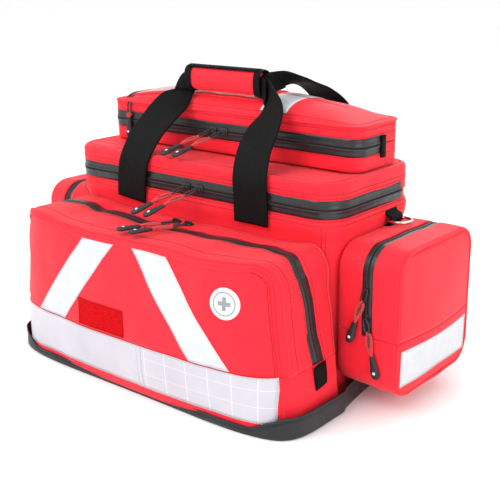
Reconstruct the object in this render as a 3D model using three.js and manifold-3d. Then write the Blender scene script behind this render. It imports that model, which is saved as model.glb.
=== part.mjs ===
// Trauma bag worn as a backpack: three stacked tiers, a front pocket, two side pockets,
// two carry handles that meet in one grip, and a harness on the rear wall.
// Millimetres. +Z is up, the front faces -Y, and +X is to the right seen from the front.
// The origin is on the ground under the middle of the base.
import * as THREE from 'three';
import * as BufferGeometryUtils from 'three/addons/utils/BufferGeometryUtils.js';
import Module from 'manifold-3d';

const wasm = await Module();
wasm.setup();

// Driving dimensions
const mainWidth = 430;
const mainDepth = 180;
const mainCorner = 34;
const mainHeight = 235;
const lidHeight = 31;
const pocketDepth = 115;
const pocketHeight = 198;
const pocketTopNarrower = 7;
const pocketBottomWider = 15;
const pocketFoldZ = 72;
const pocketZipSetback = 36;
const pocketCorner = 22;
const trayHeight = 28;
const trayBeyondPocket = 8;
const topSideMargin = 10.5;
const topRearMargin = 21;
const topSetback = 64;
const topCorner = 18;
const topZipRise = 29;
const topEdgeRise = 24;
const topCrown = 25;
const topZipReturn = 51;
const sideReach = 83;
const sideFront = 16;
const sideBottomZ = 30;
const sideHeight = 165;
const sideFoldRise = 67;
const sideZipReach = 40;
const sideCorner = 22;
const handleStraddle = 101;
const webbingWidth = 52;
const webbingThickness = 2.6;
const handleFootRise = 8;
const gripHalf = 58;
const gripHeight = 32;
const gripDepth = 22;
const gripRise = 38;
const gripBeforeMiddle = 38.5;
const padThickness = 14;

// Cloth, walls and clearances
const paddedWall = 5;
const clothWall = 3.5;
const coatedWall = 2;
const trimThickness = 1;
const tapeHalf = 9;
const tapeThickness = 3;
const gap = 0.3;
const sewnGap = 0.4;

// Places worked out from the driving dimensions
const baseDepth = mainDepth + pocketDepth;
const midY = baseDepth / 2 - mainDepth;
const rearY = midY + mainDepth;
const mainZipZ = mainHeight;
const lidTopZ = mainZipZ + lidHeight;
const topZipZ = lidTopZ + topZipRise;
const topEdgeZ = topZipZ + topEdgeRise;
const gripZ = topEdgeZ + gripRise;
const pocketTopZ = pocketHeight;
const sideTopZ = sideBottomZ + sideHeight;
const sideFoldZ = sideBottomZ + sideFoldRise;
const handleFootZ = pocketTopZ + handleFootRise;
const halfMain = mainWidth / 2;
const topWidth = mainWidth - 2 * topSideMargin;
const topFrontY = midY + topSetback;
const topRearY = rearY - topRearMargin;
const topDepth = topRearY - topFrontY;
const topMidY = (topFrontY + topRearY) / 2;
const sideFrontY = midY + sideFront;
const sideRearY = rearY;
const pocketFaceY = midY - pocketDepth;
const pocketZipY = midY - pocketZipSetback;
const gripY = topMidY - gripBeforeMiddle;
const pocketHalfTop = halfMain - pocketTopNarrower;
const pocketHalfBottom = halfMain + pocketBottomWider;
const trayHalfFront = pocketHalfBottom + trayBeyondPocket;

const red = 0xe0203a;
const deepRed = 0xb5142a;
const coatedGrey = 0x3c3f41;
const webbingBlack = 0x17181a;
const silver = 0xdfe2e8;
const nickel = 0xb9bcc0;

const bag = new THREE.Group();

function place(name, geometry, color, roughness = 0.8, metalness = 0) {
  const material = new THREE.MeshStandardMaterial({ color, roughness, metalness });
  const mesh = new THREE.Mesh(geometry, material);
  mesh.name = name;
  bag.add(mesh);
  return mesh;
}

// Solids

function toManifold(geometry) {
  const bare = geometry.index ? geometry.toNonIndexed() : geometry.clone();
  bare.deleteAttribute('normal');
  bare.deleteAttribute('uv');
  const merged = BufferGeometryUtils.mergeVertices(bare, 1e-4);
  const vertProperties = new Float32Array(merged.attributes.position.array);
  const triVerts = new Uint32Array(merged.index.array);
  return new wasm.Manifold(new wasm.Mesh({ numProp: 3, vertProperties, triVerts }));
}

function fromManifold(manifold) {
  const mesh = manifold.getMesh();
  const geometry = new THREE.BufferGeometry();
  geometry.setAttribute('position', new THREE.BufferAttribute(mesh.vertProperties, 3));
  geometry.setIndex(new THREE.BufferAttribute(mesh.triVerts, 1));
  geometry.computeVertexNormals();
  return geometry;
}

function cut(body, ...tools) {
  return tools.reduce((rest, tool) => rest.subtract(tool), body);
}

function block(x0, x1, y0, y1, z0, z1) {
  const box = new THREE.BoxGeometry(x1 - x0, y1 - y0, z1 - z0);
  box.translate((x0 + x1) / 2, (y0 + y1) / 2, (z0 + z1) / 2);
  return toManifold(box);
}

// A prism from a plane outline. Its axis is 'x', 'y' or 'z', and the outline's two
// coordinates are (y, z), (x, z) or (x, y).
function prism(shape, axis, from, to, curveSegments = 5) {
  const settings = { depth: to - from, bevelEnabled: false, curveSegments };
  const geometry = new THREE.ExtrudeGeometry(shape, settings);
  if (axis === 'z') {
    geometry.translate(0, 0, from);
  } else if (axis === 'y') {
    geometry.rotateX(Math.PI / 2);
    geometry.translate(0, to, 0);
  } else {
    const turn = new THREE.Matrix4();
    turn.makeBasis(new THREE.Vector3(0, 1, 0), new THREE.Vector3(0, 0, 1), new THREE.Vector3(1, 0, 0));
    geometry.applyMatrix4(turn);
    geometry.translate(from, 0, 0);
  }
  return toManifold(geometry);
}

function roundedRect(u0, u1, v0, v1, radius) {
  const shape = new THREE.Shape();
  shape.moveTo(u0 + radius, v0);
  shape.lineTo(u1 - radius, v0);
  shape.absarc(u1 - radius, v0 + radius, radius, -Math.PI / 2, 0, false);
  shape.lineTo(u1, v1 - radius);
  shape.absarc(u1 - radius, v1 - radius, radius, 0, Math.PI / 2, false);
  shape.lineTo(u0 + radius, v1);
  shape.absarc(u0 + radius, v1 - radius, radius, Math.PI / 2, Math.PI, false);
  shape.lineTo(u0, v0 + radius);
  shape.absarc(u0 + radius, v0 + radius, radius, Math.PI, 1.5 * Math.PI, false);
  return shape;
}

function polygon(points) {
  return new THREE.Shape(points.map(([u, v]) => new THREE.Vector2(u, v)));
}

// A solid through a stack of rings with equal point counts, each ring anticlockwise
// seen from the end of the stack. The ends are closed with fans about their centres.
function loft(rings) {
  const count = rings[0].length;
  const positions = [];
  const triangle = (a, b, c) => positions.push(...a, ...b, ...c);
  for (let r = 0; r + 1 < rings.length; r += 1) {
    for (let i = 0; i < count; i += 1) {
      const j = (i + 1) % count;
      triangle(rings[r][i], rings[r][j], rings[r + 1][j]);
      triangle(rings[r][i], rings[r + 1][j], rings[r + 1][i]);
    }
  }
  const centre = (ring) => [0, 1, 2].map((k) => ring.reduce((sum, p) => sum + p[k], 0) / count);
  const first = rings[0];
  const last = rings[rings.length - 1];
  for (let i = 0; i < count; i += 1) {
    const j = (i + 1) % count;
    triangle(centre(first), first[j], first[i]);
    triangle(centre(last), last[i], last[j]);
  }
  const geometry = new THREE.BufferGeometry();
  geometry.setAttribute('position', new THREE.Float32BufferAttribute(positions, 3));
  return toManifold(geometry);
}

// Base tray and main compartment

function bulgedPlan(half, depth, rear, z) {
  const steps = 22;
  const power = 6;
  const ring = [[half, rear, z]];
  for (let i = 1; i < steps; i += 1) {
    const angle = (Math.PI * i) / steps;
    const c = Math.cos(angle);
    const s = Math.sin(angle);
    const x = half * Math.sign(c) * Math.abs(c) ** (2 / power);
    ring.push([x, midY - depth * s ** (2 / power), z]);
  }
  ring.push([-half, rear, z]);
  return ring.reverse();
}

function trayBody(inset, z0, z1) {
  const halfRear = halfMain + 4;
  const overhang = 4;
  const rings = [z0, z1].map((z) => {
    const depth = pocketDepth + overhang - inset;
    const ring = bulgedPlan(trayHalfFront - inset, depth, rearY + overhang - inset, z);
    ring[0][0] = -(halfRear - inset);
    ring[ring.length - 1][0] = halfRear - inset;
    return ring;
  });
  return loft(rings);
}

function baseTray() {
  return cut(trayBody(0, 0, trayHeight), trayBody(coatedWall, coatedWall, trayHeight + 1));
}

const shellFloorZ = coatedWall + gap;
const shellOutline = roundedRect(-halfMain, halfMain, midY, rearY, mainCorner);

function insetOutline(inset) {
  const corner = mainCorner - inset;
  return roundedRect(-halfMain + inset, halfMain - inset, midY + inset, rearY - inset, corner);
}

function bodyShell() {
  const outer = prism(shellOutline, 'z', shellFloorZ, mainZipZ - gap);
  const room = prism(insetOutline(paddedWall), 'z', shellFloorZ + paddedWall, mainZipZ + 1);
  const seatBottom = mainZipZ - tapeHalf - gap;
  const zipSeat = block(-halfMain - 1, halfMain + 1, midY - 1, rearY - mainCorner, seatBottom, mainZipZ);
  return cut(outer, room, zipSeat);
}

function zipBand(outline, inner, endY, z0, z1) {
  const behind = block(-mainWidth, mainWidth, endY - gap, rearY + 1, z0 - 1, z1 + 1);
  return cut(prism(outline, 'z', z0, z1), prism(inner, 'z', z0 - 1, z1 + 1), behind);
}

function mainZip(z0, z1) {
  return zipBand(shellOutline, insetOutline(tapeThickness), rearY - mainCorner, z0, z1);
}

const boardZ = shellFloorZ + paddedWall + gap;
const boardThickness = 3;
const roomInset = paddedWall + 2;

function baseBoard() {
  return prism(insetOutline(roomInset), 'z', boardZ, boardZ + boardThickness);
}

const dividerThickness = 10;
const dividerClearance = 16;

function divider(x) {
  const y0 = midY + roomInset;
  const y1 = rearY - roomInset;
  const z0 = boardZ + boardThickness + gap;
  const outline = roundedRect(y0, y1, z0, mainZipZ - dividerClearance, 12);
  return prism(outline, 'x', x - dividerThickness / 2, x + dividerThickness / 2);
}

// Lid with the top tier on it

function lidShell() {
  const outer = prism(shellOutline, 'z', mainZipZ + gap, lidTopZ);
  const room = prism(insetOutline(paddedWall), 'z', mainZipZ - 1, lidTopZ - clothWall);
  const seatTop = mainZipZ + tapeHalf + gap;
  const zipSeat = block(-halfMain - 1, halfMain + 1, midY - 1, rearY - mainCorner, mainZipZ, seatTop);
  return cut(outer, room, zipSeat);
}

function topOutline(inset) {
  const half = topWidth / 2 - inset;
  return roundedRect(-half, half, topFrontY + inset, topRearY - inset, topCorner - inset);
}

const topZipEndY = topFrontY + topZipReturn;

function topTray() {
  const z0 = lidTopZ + gap;
  const outer = prism(topOutline(0), 'z', z0, topZipZ - gap);
  const room = prism(topOutline(clothWall), 'z', z0 + clothWall, topZipZ + 1);
  const seat = block(-topWidth, topWidth, topFrontY - 1, topZipEndY, topZipZ - tapeHalf - gap, topZipZ);
  return cut(outer, room, seat);
}

function topZip(z0, z1) {
  return zipBand(topOutline(0), topOutline(tapeThickness), topZipEndY, z0, z1);
}

// The crowned top: the outline rises straight, then closes inwards over the crown.
function crownedTop(inset, z0) {
  const half = topWidth / 2 - inset;
  const reach = topDepth / 2 - inset;
  const corner = topCorner - inset;
  const outline = roundedRect(-half, half, -reach, reach, corner).extractPoints(5).shape;
  const ring = (share, z) => outline.map((p) => [p.x * share, topMidY + p.y * share, z]);
  const rings = [ring(1, z0), ring(1, topEdgeZ - inset)];
  for (let step = 1; step <= 5; step += 1) {
    const share = Math.cos((step / 5.6) * (Math.PI / 2));
    rings.push(ring(share, topEdgeZ - inset + topCrown * (1 - share ** 2.2)));
  }
  return loft(rings);
}

function topLid() {
  const outer = crownedTop(0, topZipZ + gap);
  const room = crownedTop(clothWall, topZipZ - 1);
  const seat = block(-topWidth, topWidth, topFrontY - 1, topZipEndY, topZipZ, topZipZ + tapeHalf + gap);
  return cut(outer, room, seat);
}

function crownTrim(x0, x1, y0, y1, corner) {
  const area = prism(roundedRect(x0, x1, y0, y1, corner), 'z', topEdgeZ + 2, topEdgeZ + 2 * topCrown);
  const skin = cut(crownedTop(-gap - trimThickness, topZipZ), crownedTop(-gap, topZipZ - 1));
  return skin.intersect(area);
}

// Front pocket. Its half width narrows upwards, and its face bulges between the corners.

function pocketHalf(z) {
  return pocketHalfBottom + (pocketHalfTop - pocketHalfBottom) * (z / pocketTopZ);
}

function pocketBlock(inset, z0, z1, rear) {
  const rings = [z0, z1].map((z) => bulgedPlan(pocketHalf(z) - inset, pocketDepth - inset, rear, z));
  return loft(rings);
}

function pocketBucket() {
  const rear = midY - sewnGap;
  const outer = pocketBlock(0, shellFloorZ, pocketFoldZ, rear);
  const floorZ = shellFloorZ + clothWall;
  return cut(outer, pocketBlock(clothWall, floorZ, pocketFoldZ + 1, rear - coatedWall));
}

// The arch is the pocket seen from the front: two leaning sides and a level top.
function archPoints(inset, bottom) {
  const top = pocketTopZ - inset;
  const radius = Math.max(pocketCorner - inset, 2);
  const half = (z) => pocketHalf(z) - inset;
  const points = [[half(bottom), bottom]];
  for (let step = 0; step <= 5; step += 1) {
    const angle = (Math.PI / 2) * (step / 5);
    const z = top - radius + radius * Math.sin(angle);
    points.push([half(z) - radius + radius * Math.cos(angle), z]);
  }
  const mirrored = points.map(([x, z]) => [-x, z]).reverse();
  return points.concat(mirrored);
}

function archStrip(thickness, bottom, y0, y1) {
  const outline = archPoints(0, bottom).concat(archPoints(thickness, bottom).reverse());
  return prism(polygon(outline), 'y', y0, y1);
}

function pocketPanel() {
  const bottom = pocketFoldZ + gap;
  const rear = pocketZipY - tapeHalf - gap;
  const outerArch = prism(polygon(archPoints(0, bottom)), 'y', pocketFaceY - 5, rear);
  const innerArch = prism(polygon(archPoints(clothWall, bottom - 2)), 'y', pocketFaceY - 5, rear + 2);
  const outer = outerArch.intersect(pocketBlock(0, 0, pocketTopZ + 1, midY));
  const inner = innerArch.intersect(pocketBlock(clothWall, 0, pocketTopZ + 1, midY));
  return cut(outer, inner);
}

// Trim sewn flat on the pocket's face, cut to a plane outline seen from the front
function faceTrim(shape) {
  const outset = gap + trimThickness;
  const within = pocketBlock(-gap, 0, pocketTopZ + 1, midY + 1);
  const skin = cut(pocketBlock(-outset, 1, pocketTopZ, midY), within);
  return skin.intersect(prism(shape, 'y', pocketFaceY - 5, midY - 60, 8));
}

const bandBottomZ = 17;
const bandHeight = 50;
const bandTopZ = bandBottomZ + bandHeight;
const bandHalf = pocketHalfBottom - 16;
const chevronTopZ = 188;
const chevronInner = 0.0625 * pocketHalfTop;
const chevronWidth = 0.2692 * pocketHalfTop;
const chevronRun = 0.4423 * pocketHalfTop;

function chevron(side) {
  const foot = pocketFoldZ + 1;
  const points = [
    [chevronInner, chevronTopZ],
    [chevronInner + chevronRun, foot],
    [chevronInner + chevronRun + chevronWidth, foot],
    [chevronInner + chevronWidth, chevronTopZ],
  ];
  const outline = points.map(([x, z]) => [side * x, z]);
  return faceTrim(polygon(side > 0 ? outline : outline.reverse()));
}

const patchWidth = 0.3846 * pocketHalfTop;
const patchHeight = 33;
const patchX = -0.1731 * pocketHalfTop;
const patchZ = 92;
const badgeX = 0.745 * pocketHalfTop;
const badgeZ = 150;
const badgeRadius = 18;

function loopPatch() {
  const shape = roundedRect(
    patchX - patchWidth / 2,
    patchX + patchWidth / 2,
    patchZ - patchHeight / 2,
    patchZ + patchHeight / 2,
    1.5,
  );
  return faceTrim(shape);
}

function badge() {
  const disc = new THREE.Shape();
  disc.absarc(badgeX, badgeZ, badgeRadius, 0, 2 * Math.PI, false);
  return faceTrim(disc);
}

// Side pockets: the block is split at the zip into a fixed inner part and a fold-out flap.

function sideBlock(side, inset) {
  const near = halfMain + sewnGap + inset;
  const far = halfMain + sideReach - inset;
  const outline = roundedRect(
    sideFrontY + inset,
    sideRearY - inset,
    sideBottomZ + inset,
    sideTopZ - inset,
    sideCorner - inset,
  );
  const span = [side * near, side * far].sort((a, b) => a - b);
  return prism(outline, 'x', span[0], span[1]);
}

function sideFlapRegion(side, clearance) {
  const near = side * (halfMain + sideZipReach + clearance);
  const far = side * (halfMain + sideReach + 10);
  const span = [near, far].sort((a, b) => a - b);
  return block(span[0], span[1], sideFrontY - 5, sideRearY + 5, sideFoldZ + clearance, sideTopZ + 10);
}

function sideBucket(side) {
  return cut(sideBlock(side, 0), sideBlock(side, clothWall), sideFlapRegion(side, -gap));
}

function sideFlap(side) {
  return cut(sideBlock(side, 0), sideBlock(side, clothWall)).intersect(sideFlapRegion(side, gap));
}

const sideBandBottomZ = 40;
const sideBandHeight = 45;

function sideBand(side) {
  const near = side * (halfMain + sideReach + gap);
  const far = side * (halfMain + sideReach + gap + trimThickness);
  const span = [near, far].sort((a, b) => a - b);
  const margin = 6;
  return block(
    span[0],
    span[1],
    sideFrontY + margin,
    sideRearY - margin,
    sideBandBottomZ,
    sideBandBottomZ + sideBandHeight,
  );
}

// A flat strap through stations. Each station gives a centre, the direction across the
// strap and its width there; the thickness lies square to the path and to the width.
function strap(stations, thickness) {
  const centres = stations.map((s) => new THREE.Vector3(...s.at));
  const rings = stations.map((station, i) => {
    const before = centres[Math.max(i - 1, 0)];
    const after = centres[Math.min(i + 1, centres.length - 1)];
    const along = after.clone().sub(before).normalize();
    const across = new THREE.Vector3(...station.across);
    across.addScaledVector(along, -across.dot(along)).normalize();
    const out = along.clone().cross(across);
    const w = station.width / 2;
    const t = thickness / 2;
    const corner = (a, b) => centres[i].clone().addScaledVector(across, a * w).addScaledVector(out, b * t);
    return [corner(-1, -1), corner(1, -1), corner(1, 1), corner(-1, 1)].map((p) => p.toArray());
  });
  return loft(rings);
}

// Carry handles. Two flat straps rise from a wall and run into the ends of one flat bar of
// doubled webbing, which the grip closes round in front and lies against at the rear.
const barHalfHeight = 10;
const barBeyondGrip = 34;
const strapTopWidth = 33;
const strapTopX = gripHalf + 1 + strapTopWidth / 2;

function handle(stations, barY, barZ) {
  const straps = [-1, 1].map((side) =>
    strap(
      stations.map(([x, y, z, width]) => ({ at: [side * x, y, z], across: [1, 0, 0], width })),
      webbingThickness,
    ),
  );
  const half = gripHalf + barBeyondGrip;
  const t = webbingThickness / 2;
  const bar = block(-half, half, barY - t, barY + t, barZ - barHalfHeight, barZ + barHalfHeight);
  return straps.reduce((whole, piece) => whole.add(piece), bar);
}

const handleOff = 7;

function frontHandle() {
  const x = handleStraddle;
  const y = midY - handleOff;
  const lean = gripY - y;
  const stations = [
    [x, y, handleFootZ, webbingWidth],
    [x - 2, y, lidTopZ + 4, webbingWidth],
    [x - 9, y + 0.28 * lean, lidTopZ + 30, webbingWidth],
    [x - 22, y + 0.69 * lean, lidTopZ + 62, webbingWidth],
    [strapTopX + 2, gripY - gripDepth / 2 - 3, gripZ - gripHeight / 2, strapTopWidth + 3],
    [strapTopX, gripY, gripZ, strapTopWidth],
  ];
  return handle(stations, gripY, gripZ);
}

const rearHandleOff = 8;
const rearBarGap = 4;
const rearBarRise = 2;

function rearHandle() {
  const x = handleStraddle;
  const y = rearY + rearHandleOff;
  const barY = gripY + gripDepth / 2 + rearBarGap;
  const stations = [
    [x, y, handleFootZ, webbingWidth],
    [x - 2, y, lidTopZ + 4, webbingWidth],
    [x - 8, y - 12, topEdgeZ + 4, webbingWidth],
    [x - 16, y - 40, topEdgeZ + 24, webbingWidth],
    [strapTopX + 2, barY + 12, gripZ + 7, strapTopWidth + 3],
    [strapTopX, barY, gripZ + 8, strapTopWidth],
  ];
  return handle(stations, barY, gripZ + rearBarRise);
}

const gripBore = 1;

function gripWrap() {
  const y0 = gripY - gripDepth / 2;
  const z0 = gripZ - gripHeight / 2;
  const outer = prism(roundedRect(y0, y0 + gripDepth, z0, z0 + gripHeight, 9), 'x', -gripHalf, gripHalf);
  const boreY = webbingThickness / 2 + gripBore;
  const boreZ = barHalfHeight + 5;
  const length = gripHalf + 1;
  return cut(outer, block(-length, length, gripY - boreY, gripY + boreY, gripZ - boreZ, gripZ + boreZ));
}

// D-rings in webbing loops above the side pockets
const ringWire = 3.6;
const ringWidth = 30;
const ringReach = 26;
const ringY = midY + (2 / 3) * mainDepth + 2;
const ringZ = sideTopZ + 9;
const loopReach = 9;
const ringBarX = halfMain + loopReach - 3.2;

function ringTab(side) {
  const near = halfMain + sewnGap;
  const span = [side * near, side * (near + loopReach)].sort((a, b) => a - b);
  const tab = block(span[0], span[1], ringY - 10, ringY + 10, ringZ - 5, ringZ + 11);
  const barX = side * ringBarX;
  const half = ringWire / Math.SQRT2 + gap;
  return cut(tab, block(barX - half, barX + half, ringY - 11, ringY + 11, ringZ - half, ringZ + half));
}

function dRing(side) {
  const barOuter = ringBarX - ringWire / 2;
  const half = ringWidth / 2;
  const outline = (inset) => {
    const x0 = barOuter + inset;
    const x1 = barOuter + ringReach - inset;
    const y0 = -half + inset;
    const y1 = half - inset;
    return roundedOnOneSide(x0, x1, y0, y1, half - inset - 1);
  };
  const z0 = ringZ - ringWire / 2;
  const whole = prism(outline(0), 'z', z0, z0 + ringWire);
  const ring = cut(whole, prism(outline(ringWire), 'z', z0 - 1, z0 + ringWire + 1));
  const placed = ring.translate([0, ringY, 0]);
  return side > 0 ? placed : placed.mirror([1, 0, 0]);
}

function roundedOnOneSide(x0, x1, y0, y1, radius) {
  const shape = new THREE.Shape();
  shape.moveTo(x0, y0);
  shape.lineTo(x1 - radius, y0);
  shape.absarc(x1 - radius, y0 + radius, radius, -Math.PI / 2, 0, false);
  shape.lineTo(x1, y1 - radius);
  shape.absarc(x1 - radius, y1 - radius, radius, 0, Math.PI / 2, false);
  shape.lineTo(x0, y1);
  return shape;
}

// Zip sliders and pulls. A slider rides in front of the tape. A pull is a wire loop, a cord
// and a moulded tab, and hangs along -Z from its pivot at the slider's nose.
const sliderLength = 13;
const sliderWidth = 10;
const sliderHeight = 6;
const sliderStandoff = 0.5;
const wireLength = 16;
const cordLength = 26;
const tabLength = 28;
const shortCordLength = 4;
const tabWidth = 11;
const tabThickness = 5;
const cordWidth = 4;

function sliderBody() {
  const outline = roundedRect(-sliderLength / 2, sliderLength / 2, -sliderWidth / 2, sliderWidth / 2, 2.5);
  return prism(outline, 'y', -sliderHeight, 0, 2);
}

function pullBody(cord) {
  const cordEnd = -wireLength - cord;
  const tabEnd = cordEnd - tabLength;
  const neck = 3.4;
  const points = [
    [cordWidth / 2, 0],
    [-cordWidth / 2, 0],
    [-cordWidth / 2, cordEnd],
    [-neck, cordEnd],
    [-tabWidth / 2, tabEnd + 8],
    [-tabWidth / 3, tabEnd],
    [tabWidth / 3, tabEnd],
    [tabWidth / 2, tabEnd + 8],
    [neck, cordEnd],
    [cordWidth / 2, cordEnd],
  ];
  return prism(polygon(points), 'y', -tabThickness / 2, tabThickness / 2);
}

// Turns a piece made at the origin, first about Y and then about X, and moves it to its place.
function mount(manifold, at, tilt = 0, slant = 0) {
  const matrix = new THREE.Matrix4();
  matrix.makeRotationFromEuler(new THREE.Euler(radians(tilt), radians(slant), 0, 'XYZ'));
  matrix.setPosition(...at);
  return fromManifold(manifold).applyMatrix4(matrix);
}

function radians(degrees) {
  return (degrees * Math.PI) / 180;
}

const sliderShape = sliderBody();
const pullShape = pullBody(cordLength);
const shortPullShape = pullBody(shortCordLength);
const pullOff = sliderStandoff + sliderHeight + tabThickness / 2 + gap;

function slider(name, at, tilt = 0) {
  place(name, mount(sliderShape, at, tilt), nickel, 0.35, 0.9);
}

function pull(name, at, tilt, slant) {
  place(name, mount(pullShape, at, tilt, slant), coatedGrey, 0.5);
}

// A slider across a zip that runs up a wall, joined to its hanging pull
function sliderWithPull(name, at, slant) {
  const turned = sliderShape.rotate([0, 90, 0]);
  const hanging = pullShape.rotate([0, slant, 0]).translate([0, -sliderHeight - tabThickness / 2 + 1, 0]);
  place(name, mount(turned.add(hanging), at), coatedGrey, 0.5);
}

// Harness on the rear wall
const padHalf = halfMain - 65;
const padBottomZ = 34;
const padTopZ = handleFootZ - 10;
const strapX = 66;
const strapPadWidth = 62;
const strapPadThickness = 12;
const strapClearance = 3;
const lowerWebbing = 25;

function backPad() {
  const y0 = rearY + sewnGap;
  return prism(roundedRect(-padHalf, padHalf, padBottomZ, padTopZ, 24), 'y', y0, y0 + padThickness);
}

// A height on the back pad, as a share of the way down from its top
function padZ(share) {
  return padTopZ - share * (padTopZ - padBottomZ);
}

function shoulderStrap(side) {
  const y = rearY + sewnGap + padThickness + strapPadThickness / 2 + strapClearance;
  const stations = [
    [strapX - 6, y, padZ(0.05)],
    [strapX, y + 14, padZ(0.25)],
    [strapX + 12, y + 20, padZ(0.49)],
    [strapX + 26, y + 14, padZ(0.69)],
    [strapX + 34, y + 4, padZ(0.81)],
  ].map((at) => ({ at: [side * at[0], at[1], at[2]], across: [1, 0, 0], width: strapPadWidth }));
  return strap(stations, strapPadThickness);
}

function lowerStrap(side) {
  const y = rearY + sewnGap + padThickness + 3 * strapClearance;
  const stations = [
    [strapX + 36, y + 2, padZ(0.88)],
    [strapX + 52, y, padBottomZ + 6],
    [strapX + 66, y, padBottomZ - 4],
  ].map((at) => ({ at: [side * at[0], at[1], at[2]], across: [0.9, 0, 0.4], width: lowerWebbing }));
  return strap(stations, webbingThickness);
}

// Assembly

place('base_tray', fromManifold(baseTray()), coatedGrey, 0.45);
place('base_board', fromManifold(baseBoard()), webbingBlack, 0.7);
place('body_shell', fromManifold(bodyShell()), red);
place('main_zip_lower', fromManifold(mainZip(mainZipZ - tapeHalf, mainZipZ - gap)), coatedGrey, 0.4);
place('divider_left', fromManifold(divider(-mainWidth / 6)), deepRed);
place('divider_right', fromManifold(divider(mainWidth / 6)), deepRed);

place('lid_shell', fromManifold(lidShell()), red);
place('main_zip_upper', fromManifold(mainZip(mainZipZ + gap, mainZipZ + tapeHalf)), coatedGrey, 0.4);
place('top_pocket_tray', fromManifold(topTray()), red);
place('top_zip_lower', fromManifold(topZip(topZipZ - tapeHalf, topZipZ - gap)), coatedGrey, 0.4);

place('top_pocket_lid', fromManifold(topLid()), red);
place('top_zip_upper', fromManifold(topZip(topZipZ + gap, topZipZ + tapeHalf)), coatedGrey, 0.4);
const windowLeft = -topWidth / 2 + 29.5;
const windowRight = 45;
const windowMargin = 14;
const window = crownTrim(windowLeft, windowRight, topFrontY + windowMargin, topRearY - windowMargin, 12);
place('window_panel', fromManifold(window), silver, 0.2);
const topBandLeft = 56;
const topBandWidth = 48;
const topBandMargin = 8;
const topBandRight = topBandLeft + topBandWidth;
const topBand = crownTrim(topBandLeft, topBandRight, topFrontY + topBandMargin, topRearY - topBandMargin, 1);
place('top_band', fromManifold(topBand), silver, 0.4);

place('pocket_bucket', fromManifold(pocketBucket()), red);
const gussetBottom = pocketFoldZ + gap;
const gussetEnd = pocketZipY + tapeHalf;
const gusset = archStrip(clothWall, gussetBottom, gussetEnd + gap, midY - sewnGap);
place('pocket_gusset', fromManifold(gusset), red);
const innerTape = archStrip(tapeThickness, gussetBottom, pocketZipY + gap / 2, gussetEnd);
place('front_zip_inner', fromManifold(innerTape), coatedGrey, 0.4);
const bandShape = roundedRect(-bandHalf, bandHalf, bandBottomZ, bandTopZ, 2);
place('base_band', fromManifold(faceTrim(bandShape)), silver, 0.4);

place('front_pocket_panel', fromManifold(pocketPanel()), red);
const outerTape = archStrip(tapeThickness, gussetBottom, pocketZipY - tapeHalf, pocketZipY - gap / 2);
place('front_zip_outer', fromManifold(outerTape), coatedGrey, 0.4);
place('chevron_left', fromManifold(chevron(-1)), silver, 0.4);
place('chevron_right', fromManifold(chevron(1)), silver, 0.4);
place('loop_patch', fromManifold(loopPatch()), deepRed, 0.95);
place('badge', fromManifold(badge()), silver, 0.5);

for (const [label, side] of [['right', 1], ['left', -1]]) {
  place(`${label}_pocket_bucket`, fromManifold(sideBucket(side)), red);
  place(`${label}_pocket_flap`, fromManifold(sideFlap(side)), red);
  place(`${label}_pocket_band`, fromManifold(sideBand(side)), silver, 0.4);
  place(`${label}_ring_tab`, fromManifold(ringTab(side)), webbingBlack);
  place(`${label}_d_ring`, fromManifold(dRing(side)), nickel, 0.3, 0.9);
  place(`shoulder_strap_${label}`, fromManifold(shoulderStrap(side)), webbingBlack);
  place(`lower_strap_${label}`, fromManifold(lowerStrap(side)), webbingBlack);
}

place('front_handle', fromManifold(frontHandle()), webbingBlack);
place('rear_handle', fromManifold(rearHandle()), webbingBlack);
place('grip_wrap', fromManifold(gripWrap()), red);
place('back_pad', fromManifold(backPad()), webbingBlack);

const mainTilt = -64;
const topTilt = -70;
const mainSliderXs = [-4, 17];
const topSliderXs = [-16, 3];
const sliderPairs = [
  { zip: 'main', xs: mainSliderXs, y: midY - sliderStandoff, z: mainZipZ, tilt: mainTilt, slant: 30 },
  { zip: 'top', xs: topSliderXs, y: topFrontY - sliderStandoff, z: topZipZ, tilt: topTilt, slant: 20 },
];
for (const { zip, xs, y, z, tilt, slant } of sliderPairs) {
  for (const [label, x] of [['left', xs[0]], ['right', xs[1]]]) {
    slider(`${zip}_slider_${label}`, [x, y, z]);
    pull(`${zip}_pull_${label}`, [x, y - pullOff, z], tilt, slant);
  }
}

const frontPullSlant = 24;
const frontSliderXs = [10, 30];
for (const [label, x] of [['left', frontSliderXs[0]], ['right', frontSliderXs[1]]]) {
  slider(`front_slider_${label}`, [x, pocketZipY, pocketTopZ + sliderStandoff], -90);
  const at = [x, pocketZipY - sliderLength / 2 - 1, pocketTopZ + tabThickness / 2 + 2 * gap];
  pull(`front_pull_${label}`, at, -90, frontPullSlant);
}

const sideSliderY = sideFrontY - sliderStandoff;
const upperSliderRise = 55;
const upperPullSlant = 18;
const lowerSliderRise = 20;
const lowerPullSlant = -14;
for (const [label, side] of [['right', 1], ['left', -1]]) {
  const x = side * (halfMain + sideZipReach);
  const upperAt = [x, sideSliderY, sideFoldZ + upperSliderRise];
  const lowerAt = [x, sideSliderY, sideFoldZ + lowerSliderRise];
  sliderWithPull(`${label}_zip_pull_upper`, upperAt, side * upperPullSlant);
  sliderWithPull(`${label}_zip_pull_lower`, lowerAt, side * lowerPullSlant);
}

const windowPullX = -(topWidth / 2 - 38.5);
const windowPullAt = [windowPullX, topFrontY - tabThickness / 2 - 1, topEdgeZ - 1];
place('window_pull', mount(shortPullShape, windowPullAt, 0, 4), coatedGrey, 0.5);

export default bag;
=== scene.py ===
import math
from collections import namedtuple

import bpy
import numpy as np
from mathutils import Matrix, Vector, noise
from mathutils.bvhtree import BVHTree


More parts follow.
